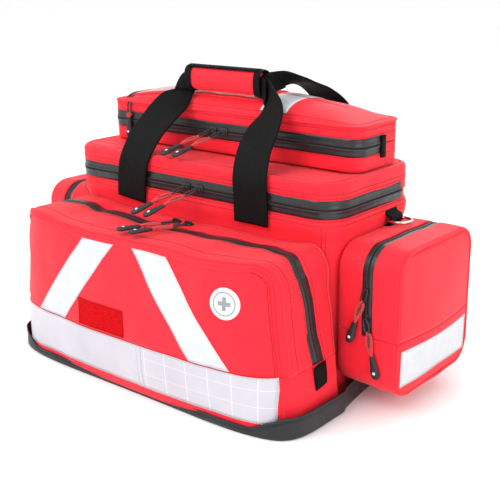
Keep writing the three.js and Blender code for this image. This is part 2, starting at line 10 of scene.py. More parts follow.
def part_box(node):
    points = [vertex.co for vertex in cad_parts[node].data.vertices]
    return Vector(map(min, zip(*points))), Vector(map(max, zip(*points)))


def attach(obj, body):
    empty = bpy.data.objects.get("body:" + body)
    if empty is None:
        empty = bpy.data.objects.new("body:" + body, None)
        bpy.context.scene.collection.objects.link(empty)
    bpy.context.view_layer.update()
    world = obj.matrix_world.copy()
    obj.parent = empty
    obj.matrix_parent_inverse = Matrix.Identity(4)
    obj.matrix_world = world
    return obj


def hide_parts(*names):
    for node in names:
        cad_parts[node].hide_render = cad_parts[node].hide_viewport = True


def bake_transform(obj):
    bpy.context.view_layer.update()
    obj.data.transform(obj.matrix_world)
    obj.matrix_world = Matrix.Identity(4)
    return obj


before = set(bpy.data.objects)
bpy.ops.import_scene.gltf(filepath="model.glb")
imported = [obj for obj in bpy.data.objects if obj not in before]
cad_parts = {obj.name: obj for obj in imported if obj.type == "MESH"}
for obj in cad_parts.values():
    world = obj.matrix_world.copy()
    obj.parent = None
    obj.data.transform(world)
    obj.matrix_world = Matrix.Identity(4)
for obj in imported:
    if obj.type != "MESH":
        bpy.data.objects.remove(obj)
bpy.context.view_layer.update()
scene = bpy.context.scene
MM = 0.001

# Camera: a three quarter view from the front right, a little above the bag.
# Nothing on the bag is a free cord: the red pull cords are closed loops held at both ends.
CAMERA_AT = Vector((0.7654, -0.8445, 0.4990))
CAMERA_AZIMUTH = math.radians(39.5)
CAMERA_ELEVATION = math.radians(17.31)
CAMERA_ROLL = math.radians(-0.53)

camera = bpy.data.objects.new("camera", bpy.data.cameras.new("camera"))
scene.collection.objects.link(camera)
scene.camera = camera
camera.data.lens = 66.2
camera.data.sensor_width = 36
towards_camera = Vector((
    math.sin(CAMERA_AZIMUTH) * math.cos(CAMERA_ELEVATION),
    -math.cos(CAMERA_AZIMUTH) * math.cos(CAMERA_ELEVATION),
    math.sin(CAMERA_ELEVATION),
))
level_view = (-towards_camera).to_track_quat("-Z", "Y").to_matrix().to_4x4()
camera.matrix_world = Matrix.Translation(CAMERA_AT) @ level_view @ Matrix.Rotation(CAMERA_ROLL, 4, "Z")

# Base tray: a shallow tray of coated tarpaulin that the whole bag stands in.
# It is cut from one sheet, its corners folded over and sewn, with a turned top edge.
FRONT_WALL_Y = -32.5 * MM
REAR_WALL_Y = 147.5 * MM
HALF_BODY = 215 * MM
POCKET_DEPTH = 115 * MM
POCKET_TOP_Z = 198 * MM


SIDES = (("right", 1), ("left", -1))
CLOTH_WALL = 2.4 * MM
STITCH_LIFT = 0.3 * MM
RAY_START = 0.3  # metres back along a ray, so that it starts outside the bag


def turns(count):
    """The angles of a full turn in even steps."""
    return [2 * math.pi * k / count for k in range(count)]


def squarish(value, power):
    """A sine or cosine that stays near its ends for longer, so that a round section gets flatter sides."""
    return math.copysign(abs(value) ** power, value)


def put(tree, kind, inputs=None, /, **settings):
    """A new node in the tree, with its settings and its inputs: values or links."""
    node = tree.nodes.new(kind)
    for key, value in settings.items():
        setattr(node, key, value)
    for key, value in (inputs or {}).items():
        if isinstance(value, bpy.types.NodeSocket):
            tree.links.new(value, node.inputs[key])
        else:
            node.inputs[key].default_value = value
    return node


def sums(tree, operation, first, second=0.0, third=0.0, clamp=False):
    return put(tree, "ShaderNodeMath", {0: first, 1: second, 2: third}, operation=operation,
               use_clamp=clamp).outputs[0]


def blend_colour(tree, share, dark, light):
    """A colour that runs from dark to light as the share goes from 0 to 1."""
    node = put(tree, "ShaderNodeMix", data_type="RGBA")
    for socket, value in ((node.inputs[0], share), (node.inputs[6], dark), (node.inputs[7], light)):
        if isinstance(value, bpy.types.NodeSocket):
            tree.links.new(value, socket)
        else:
            socket.default_value = value
    return node.outputs[2]


def effect(name, ins, outs):
    """A new shader group with named inputs and outputs."""
    group = bpy.data.node_groups.new(name, "ShaderNodeTree")
    for label, value in ins.items():
        kind = "NodeSocketVector" if isinstance(value, tuple) else "NodeSocketFloat"
        group.interface.new_socket(label, in_out="INPUT", socket_type=kind).default_value = value
    for label in outs:
        group.interface.new_socket(label, in_out="OUTPUT", socket_type="NodeSocketFloat")
    return group, put(group, "NodeGroupInput"), put(group, "NodeGroupOutput")


def use(tree, group, **inputs):
    node = put(tree, "ShaderNodeGroup", node_tree=group)
    for label, value in inputs.items():
        if isinstance(value, bpy.types.NodeSocket):
            tree.links.new(value, node.inputs[label])
        else:
            node.inputs[label].default_value = value
    return node


# Cloudy patches and fine specks, from 0 to 1, at a given size in metres: marks from being handled on most finishes,
# and a painted highlight on the window vinyl.
marks_and_highlight_group, g_in, g_out = effect("marks_and_highlight", {"Where": (0.0, 0.0, 0.0), "Size": 0.05}, ["Cloud", "Speck"])
per_metre = sums(marks_and_highlight_group, "DIVIDE", 1.0, g_in.outputs["Size"])
cloud = put(marks_and_highlight_group, "ShaderNodeTexNoise", {"Vector": g_in.outputs["Where"], "Scale": per_metre, "Detail": 4.0})
fine = sums(marks_and_highlight_group, "MULTIPLY", per_metre, 14.0)
speck = put(marks_and_highlight_group, "ShaderNodeTexNoise", {"Vector": g_in.outputs["Where"], "Scale": fine, "Detail": 2.0})
marks_and_highlight_group.links.new(cloud.outputs[0], g_out.inputs["Cloud"])
marks_and_highlight_group.links.new(speck.outputs[0], g_out.inputs["Speck"])


def new_finish(name, **constants):
    """A material with fixed values on its shader, its node tree and its shader."""
    finish = bpy.data.materials.new(name)
    finish.use_nodes = True
    shader = finish.node_tree.nodes["Principled BSDF"]
    for label, value in constants.items():
        shader.inputs[label.replace("_", " ")].default_value = value
    return finish, finish.node_tree, shader


def tint(tree, shader, share, dark, light):
    tree.links.new(blend_colour(tree, share, dark, light), shader.inputs["Base Color"])


def vary(tree, shader, label, source, share, base=0.0):
    """Makes one input of the shader follow a source: share times the source, on top of a base."""
    tree.links.new(sums(tree, "MULTIPLY_ADD", source, share, base), shader.inputs[label])


def sheet_place(tree):
    """Place on the flat sheet that a piece was cut from, from its UV map in metres."""
    return put(tree, "ShaderNodeSeparateXYZ", {0: put(tree, "ShaderNodeUVMap", uv_map="UVMap").outputs[0]})


Marks = namedtuple("Marks", "place cloud speck")


def marked(tree, size):
    """The place on the bag, and the cloudy marks there: marks from being handled, and on the window vinyl a painted
    highlight.
    """
    place = put(tree, "ShaderNodeTexCoord").outputs["Object"]
    node = use(tree, marks_and_highlight_group, Where=place, Size=size)
    return Marks(place, node.outputs["Cloud"], node.outputs["Speck"])


def bump(tree, shader, height, strength, distance):
    node = put(tree, "ShaderNodeBump", {"Height": height, "Strength": strength, "Distance": distance})
    tree.links.new(node.outputs[0], shader.inputs["Normal"])


def marked_finish(name, size, dark, light, rough=None, grain=None, **constants):
    """A hard finish: clouds tint it from dark to light, and specks set its roughness (share, base) and its
    grain (strength, distance)."""
    finish, tree, shader = new_finish(name, **constants)
    marks = marked(tree, size)
    tint(tree, shader, marks.cloud, dark, light)
    if rough:
        vary(tree, shader, "Roughness", marks.speck, *rough)
    if grain:
        bump(tree, shader, marks.speck, *grain)
    return finish


def rounded_loop(half_x, y0, y1, radius, step=4 * MM):
    """Points and outward directions of a rounded rectangle, anticlockwise, starting at the middle of the rear."""
    sides = [((0, y1), (-half_x + radius, y1), (0, 1)),
             ((-half_x, y1 - radius), (-half_x, y0 + radius), (-1, 0)),
             ((-half_x + radius, y0), (half_x - radius, y0), (0, -1)),
             ((half_x, y0 + radius), (half_x, y1 - radius), (1, 0)),
             ((half_x - radius, y1), (0, y1), (0, 1))]
    centres = [(-half_x + radius, y1 - radius), (-half_x + radius, y0 + radius),
               (half_x - radius, y0 + radius), (half_x - radius, y1 - radius)]
    points, outs = [], []
    for k, (a, b, out) in enumerate(sides):
        count = max(2, round(math.dist(a, b) / step))
        for i in range(count):
            share = i / count
            points.append((a[0] + (b[0] - a[0]) * share, a[1] + (b[1] - a[1]) * share))
            outs.append(out)
        if k < 4:
            count = max(4, round(radius * math.pi / 2 / step))
            for i in range(count):
                angle = math.pi / 2 * (k + 1) + math.pi / 2 * i / count
                out = (math.cos(angle), math.sin(angle))
                points.append((centres[k][0] + radius * out[0], centres[k][1] + radius * out[1]))
                outs.append(out)
    return np.array(points), np.array(outs)


def unsteady(points, size, seed, stretch=(1, 1, 1)):
    """Smooth unevenness from -1 to 1 at each point, about `size` across."""
    flat = np.asarray(points).reshape(-1, 3) * np.array(stretch) / size + seed
    return np.array([noise.noise(Vector(p)) for p in flat]).reshape(np.asarray(points).shape[:-1])


class Stock:
    """Gathers the faces of one piece, with UVs in metres and a finish for each face."""

    def __init__(self):
        self.points, self.faces, self.finish, self.uvs = [], [], [], []

    def add_grid(self, grid, finish=0, closed=False, close_rows=False, flip=False):
        grid = np.asarray(grid, float)
        rows, cols = grid.shape[:2]
        start = len(self.points)
        self.points.extend(map(tuple, grid.reshape(-1, 3)))
        along = np.linalg.norm(np.diff(grid, axis=0), axis=2).mean(axis=1)
        wrapped = np.concatenate([grid, grid[:, :1]], axis=1)
        across = np.linalg.norm(np.diff(wrapped, axis=1), axis=2).mean(axis=0)
        v = np.concatenate([[0], np.cumsum(along), [np.sum(along) * rows / max(rows - 1, 1)]])
        u = np.concatenate([[0], np.cumsum(across)])
        for r in range(rows if close_rows else rows - 1):
            for c in range(cols if closed else cols - 1):
                r2, c2 = (r + 1) % rows, (c + 1) % cols
                face = [start + r * cols + c, start + r * cols + c2, start + r2 * cols + c2, start + r2 * cols + c]
                uv = [(u[c], v[r]), (u[c + 1], v[r]), (u[c + 1], v[r + 1]), (u[c], v[r + 1])]
                self.faces.append(face[::-1] if flip else face)
                self.uvs.append(uv[::-1] if flip else uv)
                self.finish.append(finish)
        return start

    def add_cap(self, ring, finish=0):
        """Closes a ring of point numbers, anticlockwise seen from outside, with a fan about its middle."""
        middle = np.mean([self.points[i] for i in ring], axis=0)
        self.points.append(tuple(middle))
        centre = len(self.points) - 1
        for i, a in enumerate(ring):
            b = ring[(i + 1) % len(ring)]
            self.faces.append([a, b, centre])
            self.uvs.append([(self.points[k][0] + self.points[k][1], self.points[k][2]) for k in (a, b, centre)])
            self.finish.append(finish)

    def add_bar(self, rings, finish=0, flip=False):
        """Rings of points joined along a bar, with both ends capped. `flip` is for rings that run clockwise."""
        start = self.add_grid(rings, finish, closed=True, flip=flip)
        count = len(rings[0])
        first = [start + k for k in range(count)]
        last = [start + (len(rings) - 1) * count + k for k in range(count)]
        self.add_cap(first if flip else first[::-1], finish)
        self.add_cap(last[::-1] if flip else last, finish)

    def add_tube(self, path, radius, finish=0, sides=8, closed=False, flat=1.0):
        """A tube along a path, with closed ends. `flat` is its thickness as a share of its width."""
        path = [Vector(p) for p in path]
        count = len(path)
        radii = radius if hasattr(radius, "__len__") else [radius] * count
        rings, side = [], None
        for i, p in enumerate(path):
            before = path[i - 1] if closed or i else path[0]
            after = path[(i + 1) % count] if closed or i + 1 < count else path[-1]
            along = (after - before).normalized()
            if side is None:
                side = along.orthogonal().normalized() if abs(along.z) > 0.99 else along.cross(Vector((0, 0, 1)))
            side = (side - along * side.dot(along)).normalized()
            other = along.cross(side)
            rings.append([p + (side * math.cos(a) + other * math.sin(a) * flat) * radii[i]
                          for a in turns(sides)])
        rings = [[tuple(q) for q in ring] for ring in rings]
        if closed:
            self.add_grid(rings, finish, closed=True, close_rows=True)
        else:
            self.add_bar(rings, finish)

    def add_pebble(self, centre, halves, finish=0, power=0.5, turn=None, steps=(12, 8)):
        """A rounded lump: power 1 is an ellipsoid, and a smaller one is nearer to a block."""
        swing = lambda v: squarish(v, power)
        turn = turn or Matrix.Identity(3)
        grid = []
        for j in range(1, steps[1]):
            tall = -math.pi / 2 + math.pi * j / steps[1]
            ring = []
            for i in range(steps[0]):
                wide = 2 * math.pi * i / steps[0]
                local = Vector((halves[0] * swing(math.cos(tall)) * swing(math.cos(wide)),
                                halves[1] * swing(math.cos(tall)) * swing(math.sin(wide)),
                                halves[2] * swing(math.sin(tall))))
                ring.append(tuple(Vector(centre) + turn @ local))
            grid.append(ring)
        self.add_bar(grid, finish)

    def finished(self, name, *finishes, wall=0.0, place=None):
        """The piece as an object. With a wall, its faces are the outer side and the wall goes inwards."""
        mesh = bpy.data.meshes.new(name)
        points = [tuple(place @ Vector(p)) for p in self.points] if place else self.points
        mesh.from_pydata(points, [], self.faces)
        layer = mesh.uv_layers.new(name="UVMap")
        layer.data.foreach_set("uv", [x for face in self.uvs for uv in face for x in uv])
        for finish in finishes:
            mesh.materials.append(finish)
        mesh.polygons.foreach_set("material_index", self.finish)
        mesh.polygons.foreach_set("use_smooth", [True] * len(self.faces))
        mesh.validate()
        piece = bpy.data.objects.new(name, mesh)
        scene.collection.objects.link(piece)
        if wall:
            thicken = piece.modifiers.new("wall", "SOLIDIFY")
            thicken.thickness = wall
            thicken.offset = -1
            thicken.use_even_offset = False
        return piece


def ride_as(piece, body, slot, *nodes):
    """Puts a piece on its body, in place of the CAD nodes it stands for. The slot is not used."""
    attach(piece, body)
    if nodes:
        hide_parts(*nodes)
    return piece


tarpaulin, tree, shader = new_finish("tray_tarpaulin", Roughness=0.42, Specular_IOR_Level=0.4)
marks = marked(tree, 0.06)
pores = put(tree, "ShaderNodeTexVoronoi", {"Vector": marks.place, "Scale": 900.0})
scuff = put(tree, "ShaderNodeMapRange", {0: marks.cloud, 1: 0.52, 2: 0.75, 3: 0.0, 4: 1.0}).outputs[0]
tint(tree, shader, scuff, (0.012, 0.014, 0.016, 1), (0.026, 0.030, 0.033, 1))
vary(tree, shader, "Roughness", marks.speck, 0.25, 0.28)
bump(tree, shader, sums(tree, "MULTIPLY_ADD", marks.cloud, 2.0, pores.outputs[0]), 0.35, 0.0006)


def pocket_half(z):
    """Half the width of the front pocket, which narrows upwards."""
    return (230 - 22 * z / POCKET_TOP_Z) * MM


def pocket_face_y(x, z):
    """The front pocket's face: nearly flat between rounded corners, and swollen a little by what is in it."""
    half = pocket_half(z)
    share = np.clip(np.abs(x) / half, 0, 0.99999)
    drawn = FRONT_WALL_Y - POCKET_DEPTH * (1 - share ** 6) ** (1 / 6)
    low = np.clip(z / POCKET_TOP_Z, 0, 1)
    swell = 11 * MM * (1 - share ** 2) * np.sin(np.pi * low ** 0.8)
    return drawn - swell


def base_loop(grow, z):
    """The bag's plan at the base, round the pocket's face and the rear wall, anticlockwise."""
    front = []
    count = 110
    for i in range(count + 1):
        angle = math.pi * i / count
        c, s = math.cos(angle), math.sin(angle)
        x = -(235 * MM + grow) * squarish(c, 1 / 3)
        front.append((x, FRONT_WALL_Y - (POCKET_DEPTH + 3 * MM + grow) * s ** (1 / 3), z))
    rear_half, rear_y, radius = 217 * MM + grow, REAR_WALL_Y + 2.5 * MM + grow, 34 * MM
    side = [(rear_half + 16 * MM * (1 - i / 20) ** 2, FRONT_WALL_Y + (rear_y - radius - FRONT_WALL_Y) * i / 20, z)
            for i in range(1, 20)]
    bend = [(rear_half - radius + radius * math.cos(a), rear_y - radius + radius * math.sin(a), z)
            for a in [math.pi / 2 * i / 8 for i in range(9)]]
    rear = side + bend + [((rear_half - radius) * (1 - i / 25), rear_y, z) for i in range(1, 26)]
    mirror = [(-x, y, w) for x, y, w in rear[:-1]][::-1]
    return np.array(front + rear + mirror)


tray = Stock()
tray_rows = []
for share in (0.02, 0.3, 0.6, 0.85, 0.96):
    loop = base_loop(-3 * MM, 0.8 * MM)
    tray_rows.append(loop * [share, share, 1])
for z, grow in ((0.4, -1), (0.6, 0.6), (3, 1.6), (8, 1.8), (14, 1.4), (20, 1.0), (24, 0.9), (24.5, 1.9),
                (27, 2.0), (28, 1.2)):
    loop = base_loop(grow * MM, z * MM)
    outward = loop[:, :2] / np.linalg.norm(loop[:, :2], axis=1)[:, None]
    ahead = np.clip((-100 * MM - loop[:, 1]) / (30 * MM), 0, 1)
    in_front = ahead * np.clip((222 * MM - np.abs(loop[:, 0])) / (34 * MM), 0, 1)
    drift = unsteady(loop, 45 * MM, 3.1) * min(z / 10, 1) * 1.2 * MM - in_front * 3.5 * MM
    loop[:, :2] += outward * drift[:, None]
    loop[:, 2] += unsteady(loop, 90 * MM, 8.0) * (1.6 * MM if z > 22 else 0)
    loop[:, 2] *= 1 - 0.62 * in_front
    tray_rows.append(loop)
tray.add_grid(tray_rows, closed=True)
tray.add_cap(list(range(len(tray_rows[0])))[::-1])
ride_as(tray.finished("base_tray_cloth", tarpaulin, wall=1.6 * MM), "bag", "tray_tarpaulin", "base_tray")

fold = Stock()
for side in (1, -1):
    for y0, x0, out in ((-128, 208, (0.6, -0.8)), (146, 200, (0.7, 0.7))):
        run = []
        for z in np.linspace(1.5, 27, 9):
            centre = Vector((side * x0 * MM, y0 * MM, z * MM))
            direction = Vector((side * out[0], out[1], 0)).normalized()
            across = Vector((-direction.y, direction.x, 0))
            crest = 4.4 + 0.4 * math.sin(z * 0.9)
            run.append([tuple(centre + direction * d * MM + across * c * MM)
                        for c, d in ((-6, 0.4), (-4, 3.2), (0, crest), (4, 3.4), (6, 0.4), (0, -1))])
        fold.add_bar(run)
ride_as(fold.finished("base_tray_folds", tarpaulin), "bag", "tray_tarpaulin")


def beads_tree(name):
    """Short rounded beads in a row along each line: used for stitches and for zip teeth."""
    tree = bpy.data.node_groups.new(name, "GeometryNodeTree")
    face = tree.interface
    face.new_socket("Line", in_out="INPUT", socket_type="NodeSocketGeometry")
    for label, value in (("Pitch", 3.6 * MM), ("Length", 2.6 * MM), ("Width", 0.95 * MM), ("Height", 0.7 * MM)):
        face.new_socket(label, in_out="INPUT", socket_type="NodeSocketFloat").default_value = value
    face.new_socket("Finish", in_out="INPUT", socket_type="NodeSocketMaterial")
    face.new_socket("Row", in_out="OUTPUT", socket_type="NodeSocketGeometry")
    given, made = put(tree, "NodeGroupInput"), put(tree, "NodeGroupOutput")
    curve = put(tree, "GeometryNodeMeshToCurve", {"Mesh": given.outputs["Line"]})
    spaced = put(tree, "GeometryNodeResampleCurve", {"Curve": curve.outputs[0], "Length": given.outputs["Pitch"]},
                 mode="LENGTH")
    bead = put(tree, "GeometryNodeMeshUVSphere", {"Segments": 6, "Rings": 4, "Radius": 0.5})
    size = put(tree, "ShaderNodeCombineXYZ", {0: given.outputs["Height"], 1: given.outputs["Width"],
                                              2: given.outputs["Length"]})
    along = put(tree, "GeometryNodeInputTangent")
    turn = put(tree, "FunctionNodeAlignRotationToVector", {"Vector": along.outputs[0]}, axis="Z")
    beads = put(tree, "GeometryNodeInstanceOnPoints", {"Points": spaced.outputs[0], "Instance": bead.outputs["Mesh"],
                                                       "Rotation": turn.outputs[0], "Scale": size.outputs[0]})
    real = put(tree, "GeometryNodeRealizeInstances", {"Geometry": beads.outputs[0]})
    smooth = put(tree, "GeometryNodeSetShadeSmooth", {"Geometry": real.outputs[0]})
    coloured = put(tree, "GeometryNodeSetMaterial", {"Geometry": smooth.outputs[0],
                                                     "Material": given.outputs["Finish"]})
    tree.links.new(coloured.outputs[0], made.inputs["Row"])
    return tree


beads = beads_tree("row_of_beads")


def bead_rows(name, lines, finish, body, slot, **sizes):
    """Rows of beads along lines of points, as one plain mesh on one body."""
    mesh = bpy.data.meshes.new(name + "_lines")
    points, edges = [], []
    for line in lines:
        start = len(points)
        points.extend(tuple(p) for p in line)
        edges.extend((start + i, start + i + 1) for i in range(len(line) - 1))
    mesh.from_pydata(points, edges, [])
    holder = bpy.data.objects.new(name + "_lines", mesh)
    scene.collection.objects.link(holder)
    nodes = holder.modifiers.new("rows", "NODES")
    nodes.node_group = beads
    keys = {item.name: item.identifier for item in beads.interface.items_tree if item.in_out == "INPUT"}
    nodes[keys["Finish"]] = finish
    for label, value in sizes.items():
        nodes[keys[label]] = value
    bpy.context.view_layer.update()
    graph = bpy.context.evaluated_depsgraph_get()
    made = bpy.data.meshes.new_from_object(holder.evaluated_get(graph), depsgraph=graph)
    made.name = name
    bpy.data.objects.remove(holder)
    piece = bpy.data.objects.new(name, made)
    scene.collection.objects.link(piece)
    return ride_as(piece, body, slot)


def thread_finish(name, colour):
    finish, tree, shader = new_finish(name, Roughness=0.6)
    place = put(tree, "ShaderNodeTexCoord").outputs["Object"]
    twist = put(tree, "ShaderNodeTexWave", {"Vector": place, "Scale": 900.0, "Distortion": 2.0})
    darker = tuple(c * 0.55 for c in colour[:3]) + (1,)
    tint(tree, shader, twist.outputs[1], darker, colour)
    return finish


black_thread = thread_finish("black_thread", (0.02, 0.02, 0.022, 1))
tray_top = np.array(tray_rows[-4])
hem = tray_top[:, :2] / np.linalg.norm(tray_top[:, :2], axis=1)[:, None] * 1.3 * MM
hem_line = np.column_stack([tray_top[:, :2] + hem, tray_top[:, 2] - 3 * MM])
bead_rows("base_tray_stitches", [np.vstack([hem_line, hem_line[:1]])], black_thread, "bag", "tray_tarpaulin")

# Main compartment: a padded box of red woven nylon, stiffened by foam between shell and lining.
# The walls are sewn at rounded corners, with two rows of stitches under the zip.
# Woven cloth: over and under threads from the UV map in metres. Where a cloth takes its colour from this height,
# that is painted shade between the threads and a painted highlight on the raised threads.
weave, w_in, w_out = effect("cloth_weave", {"Across": 0.0, "Along": 0.0, "Pitch": 0.0011}, ["Height", "Thread"])
turned = []
for label in ("Across", "Along"):
    place = sums(weave, "DIVIDE", w_in.outputs[label], w_in.outputs["Pitch"])
    turned.append(sums(weave, "SINE", sums(weave, "MULTIPLY", place, math.pi)))
crossing = sums(weave, "MULTIPLY", turned[0], turned[1])
over = sums(weave, "SIGN", crossing)
bulge = [sums(weave, "POWER", sums(weave, "ABSOLUTE", t), 0.6) for t in turned]
mixed = put(weave, "ShaderNodeMix", {0: sums(weave, "MULTIPLY_ADD", over, 0.5, 0.5), 2: bulge[0], 3: bulge[1]})
weave.links.new(mixed.outputs[0], w_out.inputs["Height"])
weave.links.new(sums(weave, "MULTIPLY_ADD", over, 0.5, 0.5), w_out.inputs["Thread"])


def woven(name, dark, light, pitch=1.1 * MM, by_uv=True, rough=0.62, sheen=0.12, depth=0.35):
    """Woven cloth. Sewn panels follow their UVs, and a swollen pad follows the bag's own directions."""
    finish, tree, shader = new_finish(name, Sheen_Weight=sheen, Sheen_Roughness=0.45, Specular_IOR_Level=0.3)
    marks = marked(tree, 0.035)
    if by_uv:
        split = sheet_place(tree)
        across, along = split.outputs[0], split.outputs[1]
    else:
        split = put(tree, "ShaderNodeSeparateXYZ", {0: marks.place})
        across = sums(tree, "ADD", split.outputs[0], split.outputs[1])
        along = split.outputs[2]
    cloth = use(tree, weave, Across=across, Along=along, Pitch=pitch)
    # Painted shade from the weave: darker between the threads and lighter on the raised threads, mixed with the
    # random cloudy marks.
    shade = sums(tree, "MULTIPLY_ADD", cloth.outputs["Height"], 0.5, sums(tree, "MULTIPLY", marks.cloud, 0.75))
    tint(tree, shader, sums(tree, "MULTIPLY", shade, 0.9, clamp=True), dark, light)
    vary(tree, shader, "Roughness", marks.speck, 0.2, rough - 0.1)
    height = sums(tree, "MULTIPLY_ADD", marks.cloud, 4.0, cloth.outputs["Height"])
    bump(tree, shader, height, depth, 0.0005)
    return finish


RED_DARK, RED_LIGHT = (0.70, 0.003, 0.016, 1), (0.97, 0.014, 0.034, 1)
red_cloth = woven("red_cloth", RED_DARK, RED_LIGHT)
red_padding = woven("red_padding", RED_DARK, RED_LIGHT, by_uv=False)
red_thread = thread_finish("red_thread", (0.20, 0.001, 0.007, 1))
MAIN_CORNER = 34 * MM
MAIN_ZIP_Z = 235 * MM
ZIP_HALF = 9 * MM

body_points, body_outs = rounded_loop(HALF_BODY, FRONT_WALL_Y, REAR_WALL_Y, MAIN_CORNER)


def level_line(points, z):
    """A closed line round a plan at one height."""
    return [(x, y, z) for x, y in np.vstack([points, points[:1]])]


def sewn_rows(name, skin, lines, body):
    """Rows of red stitches along lines near a cloth, laid on the cloth."""
    bead_rows(name, [skin.along(line, STITCH_LIFT) for line in lines], red_thread, body, "shell_fabric")


def wall_rows(points, outs, heights, ease):
    """Rows of a wall that follows a plan. `ease` gives how far each point stands out, by place and height."""
    rows = []
    for z in heights:
        flat = np.column_stack([points, np.full(len(points), z)])
        rows.append(flat + np.column_stack([outs, np.zeros(len(outs))]) * ease(flat, z)[:, None])
    return rows


def body_ease(flat, z):
    free = np.clip((z - 196 * MM) / (12 * MM), 0, 1) * np.clip((225 * MM - z) / (8 * MM), 0, 1)
    strip = np.clip(1 - np.abs(flat[:, 1] + 24 * MM) / (10 * MM), 0, 1)
    drape = unsteady(flat, 38 * MM, 5.2, (1, 1, 0.6)) * 2.0 * MM
    return free * (1.5 * MM + drape) - (1 - free) * (1.4 * MM + np.abs(drape) * (0.4 + strip))


body = Stock()
body_floor = [np.column_stack([body_points * [share, share], np.full(len(body_points), 3 * MM)])
              + [0, 57.5 * MM * (1 - share), 0] for share in (0.05, 0.3, 0.6, 0.85, 0.985)]
body_heights = list(np.linspace(4.5 * MM, 234.6 * MM, 58))
body.add_grid(body_floor + wall_rows(body_points, body_outs, body_heights, body_ease), closed=True)
body.add_cap(list(range(len(body_points)))[::-1])
body_piece = ride_as(body.finished("main_body_cloth", red_cloth, wall=3.6 * MM), "bag", "shell_fabric",
                     "body_shell")


class Skin:
    """The surface of a finished cloth piece, so that trim and stitches can be laid on it."""

    def __init__(self, *pieces):
        points, faces = [], []
        for piece in pieces:
            start = len(points)
            points.extend(v.co.copy() for v in piece.data.vertices)
            faces.extend([start + i for i in f.vertices] for f in piece.data.polygons)
        self.tree = BVHTree.FromPolygons(points, faces)

    def near(self, point, lift):
        spot, out, *_ = self.tree.find_nearest(Vector(point))
        return spot + out * lift

    def along(self, line, lift):
        return [self.near(p, lift) for p in line]

    def seen_from(self, point, direction, lift):
        """Where a line through the point along a direction first meets the cloth."""
        direction = Vector(direction).normalized()
        spot, out, *_ = self.tree.ray_cast(Vector(point) - direction * RAY_START, direction)
        if spot is None:
            return self.near(point, lift)
        return spot + out * (lift if out.dot(direction) < 0 else -lift)


body_skin = Skin(body_piece)
lines = [level_line(body_points, z) for z in (221.5 * MM, 216.5 * MM)]
lines += [[(side * x * MM, FRONT_WALL_Y + inset * MM, z) for z in np.linspace(0.033, 0.214, 40)]
          for side in (1, -1) for x, inset in ((204, 3), (198, 2))]
sewn_rows("main_body_stitches", body_skin, lines, "bag")

# Base board: a stiff plastic sheet lying in the bottom of the main room, under the dividers.
# It keeps the loaded bag flat and is only pushed in, so it can be lifted out and washed.
board_finish, tree, shader = new_finish("base_board_plastic", Roughness=0.5)
marks = marked(tree, 0.02)
tint(tree, shader, marks.speck, (0.012, 0.012, 0.013, 1), (0.03, 0.03, 0.032, 1))
bump(tree, shader, marks.speck, 0.2, 0.0003)
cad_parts["base_board"].data.materials.clear()
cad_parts["base_board"].data.materials.append(board_finish)

# Dividers: two foam panels covered in dark red cloth, held in the main room by hook edges.
# The foam rounds the cloth a little.
divider_cloth = woven("divider_cloth", (0.28, 0.004, 0.012, 1), (0.42, 0.010, 0.022, 1), by_uv=False)
SWELL_FRAMES = 20


def swollen(piece, cap, pressure=4.0, voxel=5 * MM):
    """Swells a closed pad with air, and keeps each point within `cap` of where it started."""
    remesh = piece.modifiers.new("voxels", "REMESH")
    remesh.mode = "VOXEL"
    remesh.voxel_size = voxel
    graph = bpy.context.evaluated_depsgraph_get()
    mesh = bpy.data.meshes.new_from_object(piece.evaluated_get(graph), depsgraph=graph)
    piece.modifiers.clear()
    piece.data = mesh
    start = np.array([v.co for v in mesh.vertices])
    cloth = piece.modifiers.new("air", "CLOTH")
    cloth.settings.use_pressure = True
    cloth.settings.uniform_pressure_force = pressure
    cloth.settings.effector_weights.gravity = 0
    cloth.settings.quality = 4
    cloth.point_cache.frame_end = SWELL_FRAMES
    for moment in range(1, SWELL_FRAMES + 1):
        scene.frame_set(moment)
    graph = bpy.context.evaluated_depsgraph_get()
    swelled = bpy.data.meshes.new_from_object(piece.evaluated_get(graph), depsgraph=graph)
    ends = np.array([v.co for v in swelled.vertices])
    piece.modifiers.clear()
    scene.frame_set(1)
    step = ends - start
    length = np.linalg.norm(step, axis=1, keepdims=True)
    step *= np.minimum(1, cap / np.maximum(length, 1e-9))
    mesh.vertices.foreach_set("co", (start + step).ravel())
    bpy.data.meshes.remove(swelled)
    mesh.polygons.foreach_set("use_smooth", [True] * len(mesh.polygons))
    mesh.update()
    soften = piece.modifiers.new("soften", "SUBSURF")
    soften.levels = soften.render_levels = 1
    return piece


def slab(axis, low, high, radius):
    """A closed rounded panel, thin along one axis, from its lowest to its highest corner."""
    low, high = np.array(low), np.array(high)
    u, v = [k for k in range(3) if k != axis]
    middle = (low + high) / 2
    points, outs = rounded_loop((high[u] - low[u]) / 2, -(high[v] - low[v]) / 2, (high[v] - low[v]) / 2, radius,
                                step=6 * MM)
    thick = (high[axis] - low[axis]) / 2
    panel = Stock()
    rows = []
    for inset, offset in ((1, -1), (0.35, -0.9), (0, -0.45), (0, 0.45), (0.35, 0.9), (1, 1)):
        ring = np.zeros((len(points), 3))
        ring[:, u] = middle[u] + points[:, 0] - outs[:, 0] * inset * thick
        ring[:, v] = middle[v] + points[:, 1] - outs[:, 1] * inset * thick
        ring[:, axis] = middle[axis] + offset * thick
        rows.append(ring)
    panel.add_bar(rows, flip=axis == 1)
    return panel


for label in ("left", "right"):
    low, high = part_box(f"divider_{label}")
    margin = Vector((1.5 * MM, 1.5 * MM, 1.5 * MM))
    pad = slab(0, low + margin, high - margin, 10 * MM).finished(f"divider_{label}_pad", divider_cloth)
    swollen(pad, 1.6 * MM, voxel=6 * MM)
    ride_as(pad, "bag", "divider_fabric", f"divider_{label}")

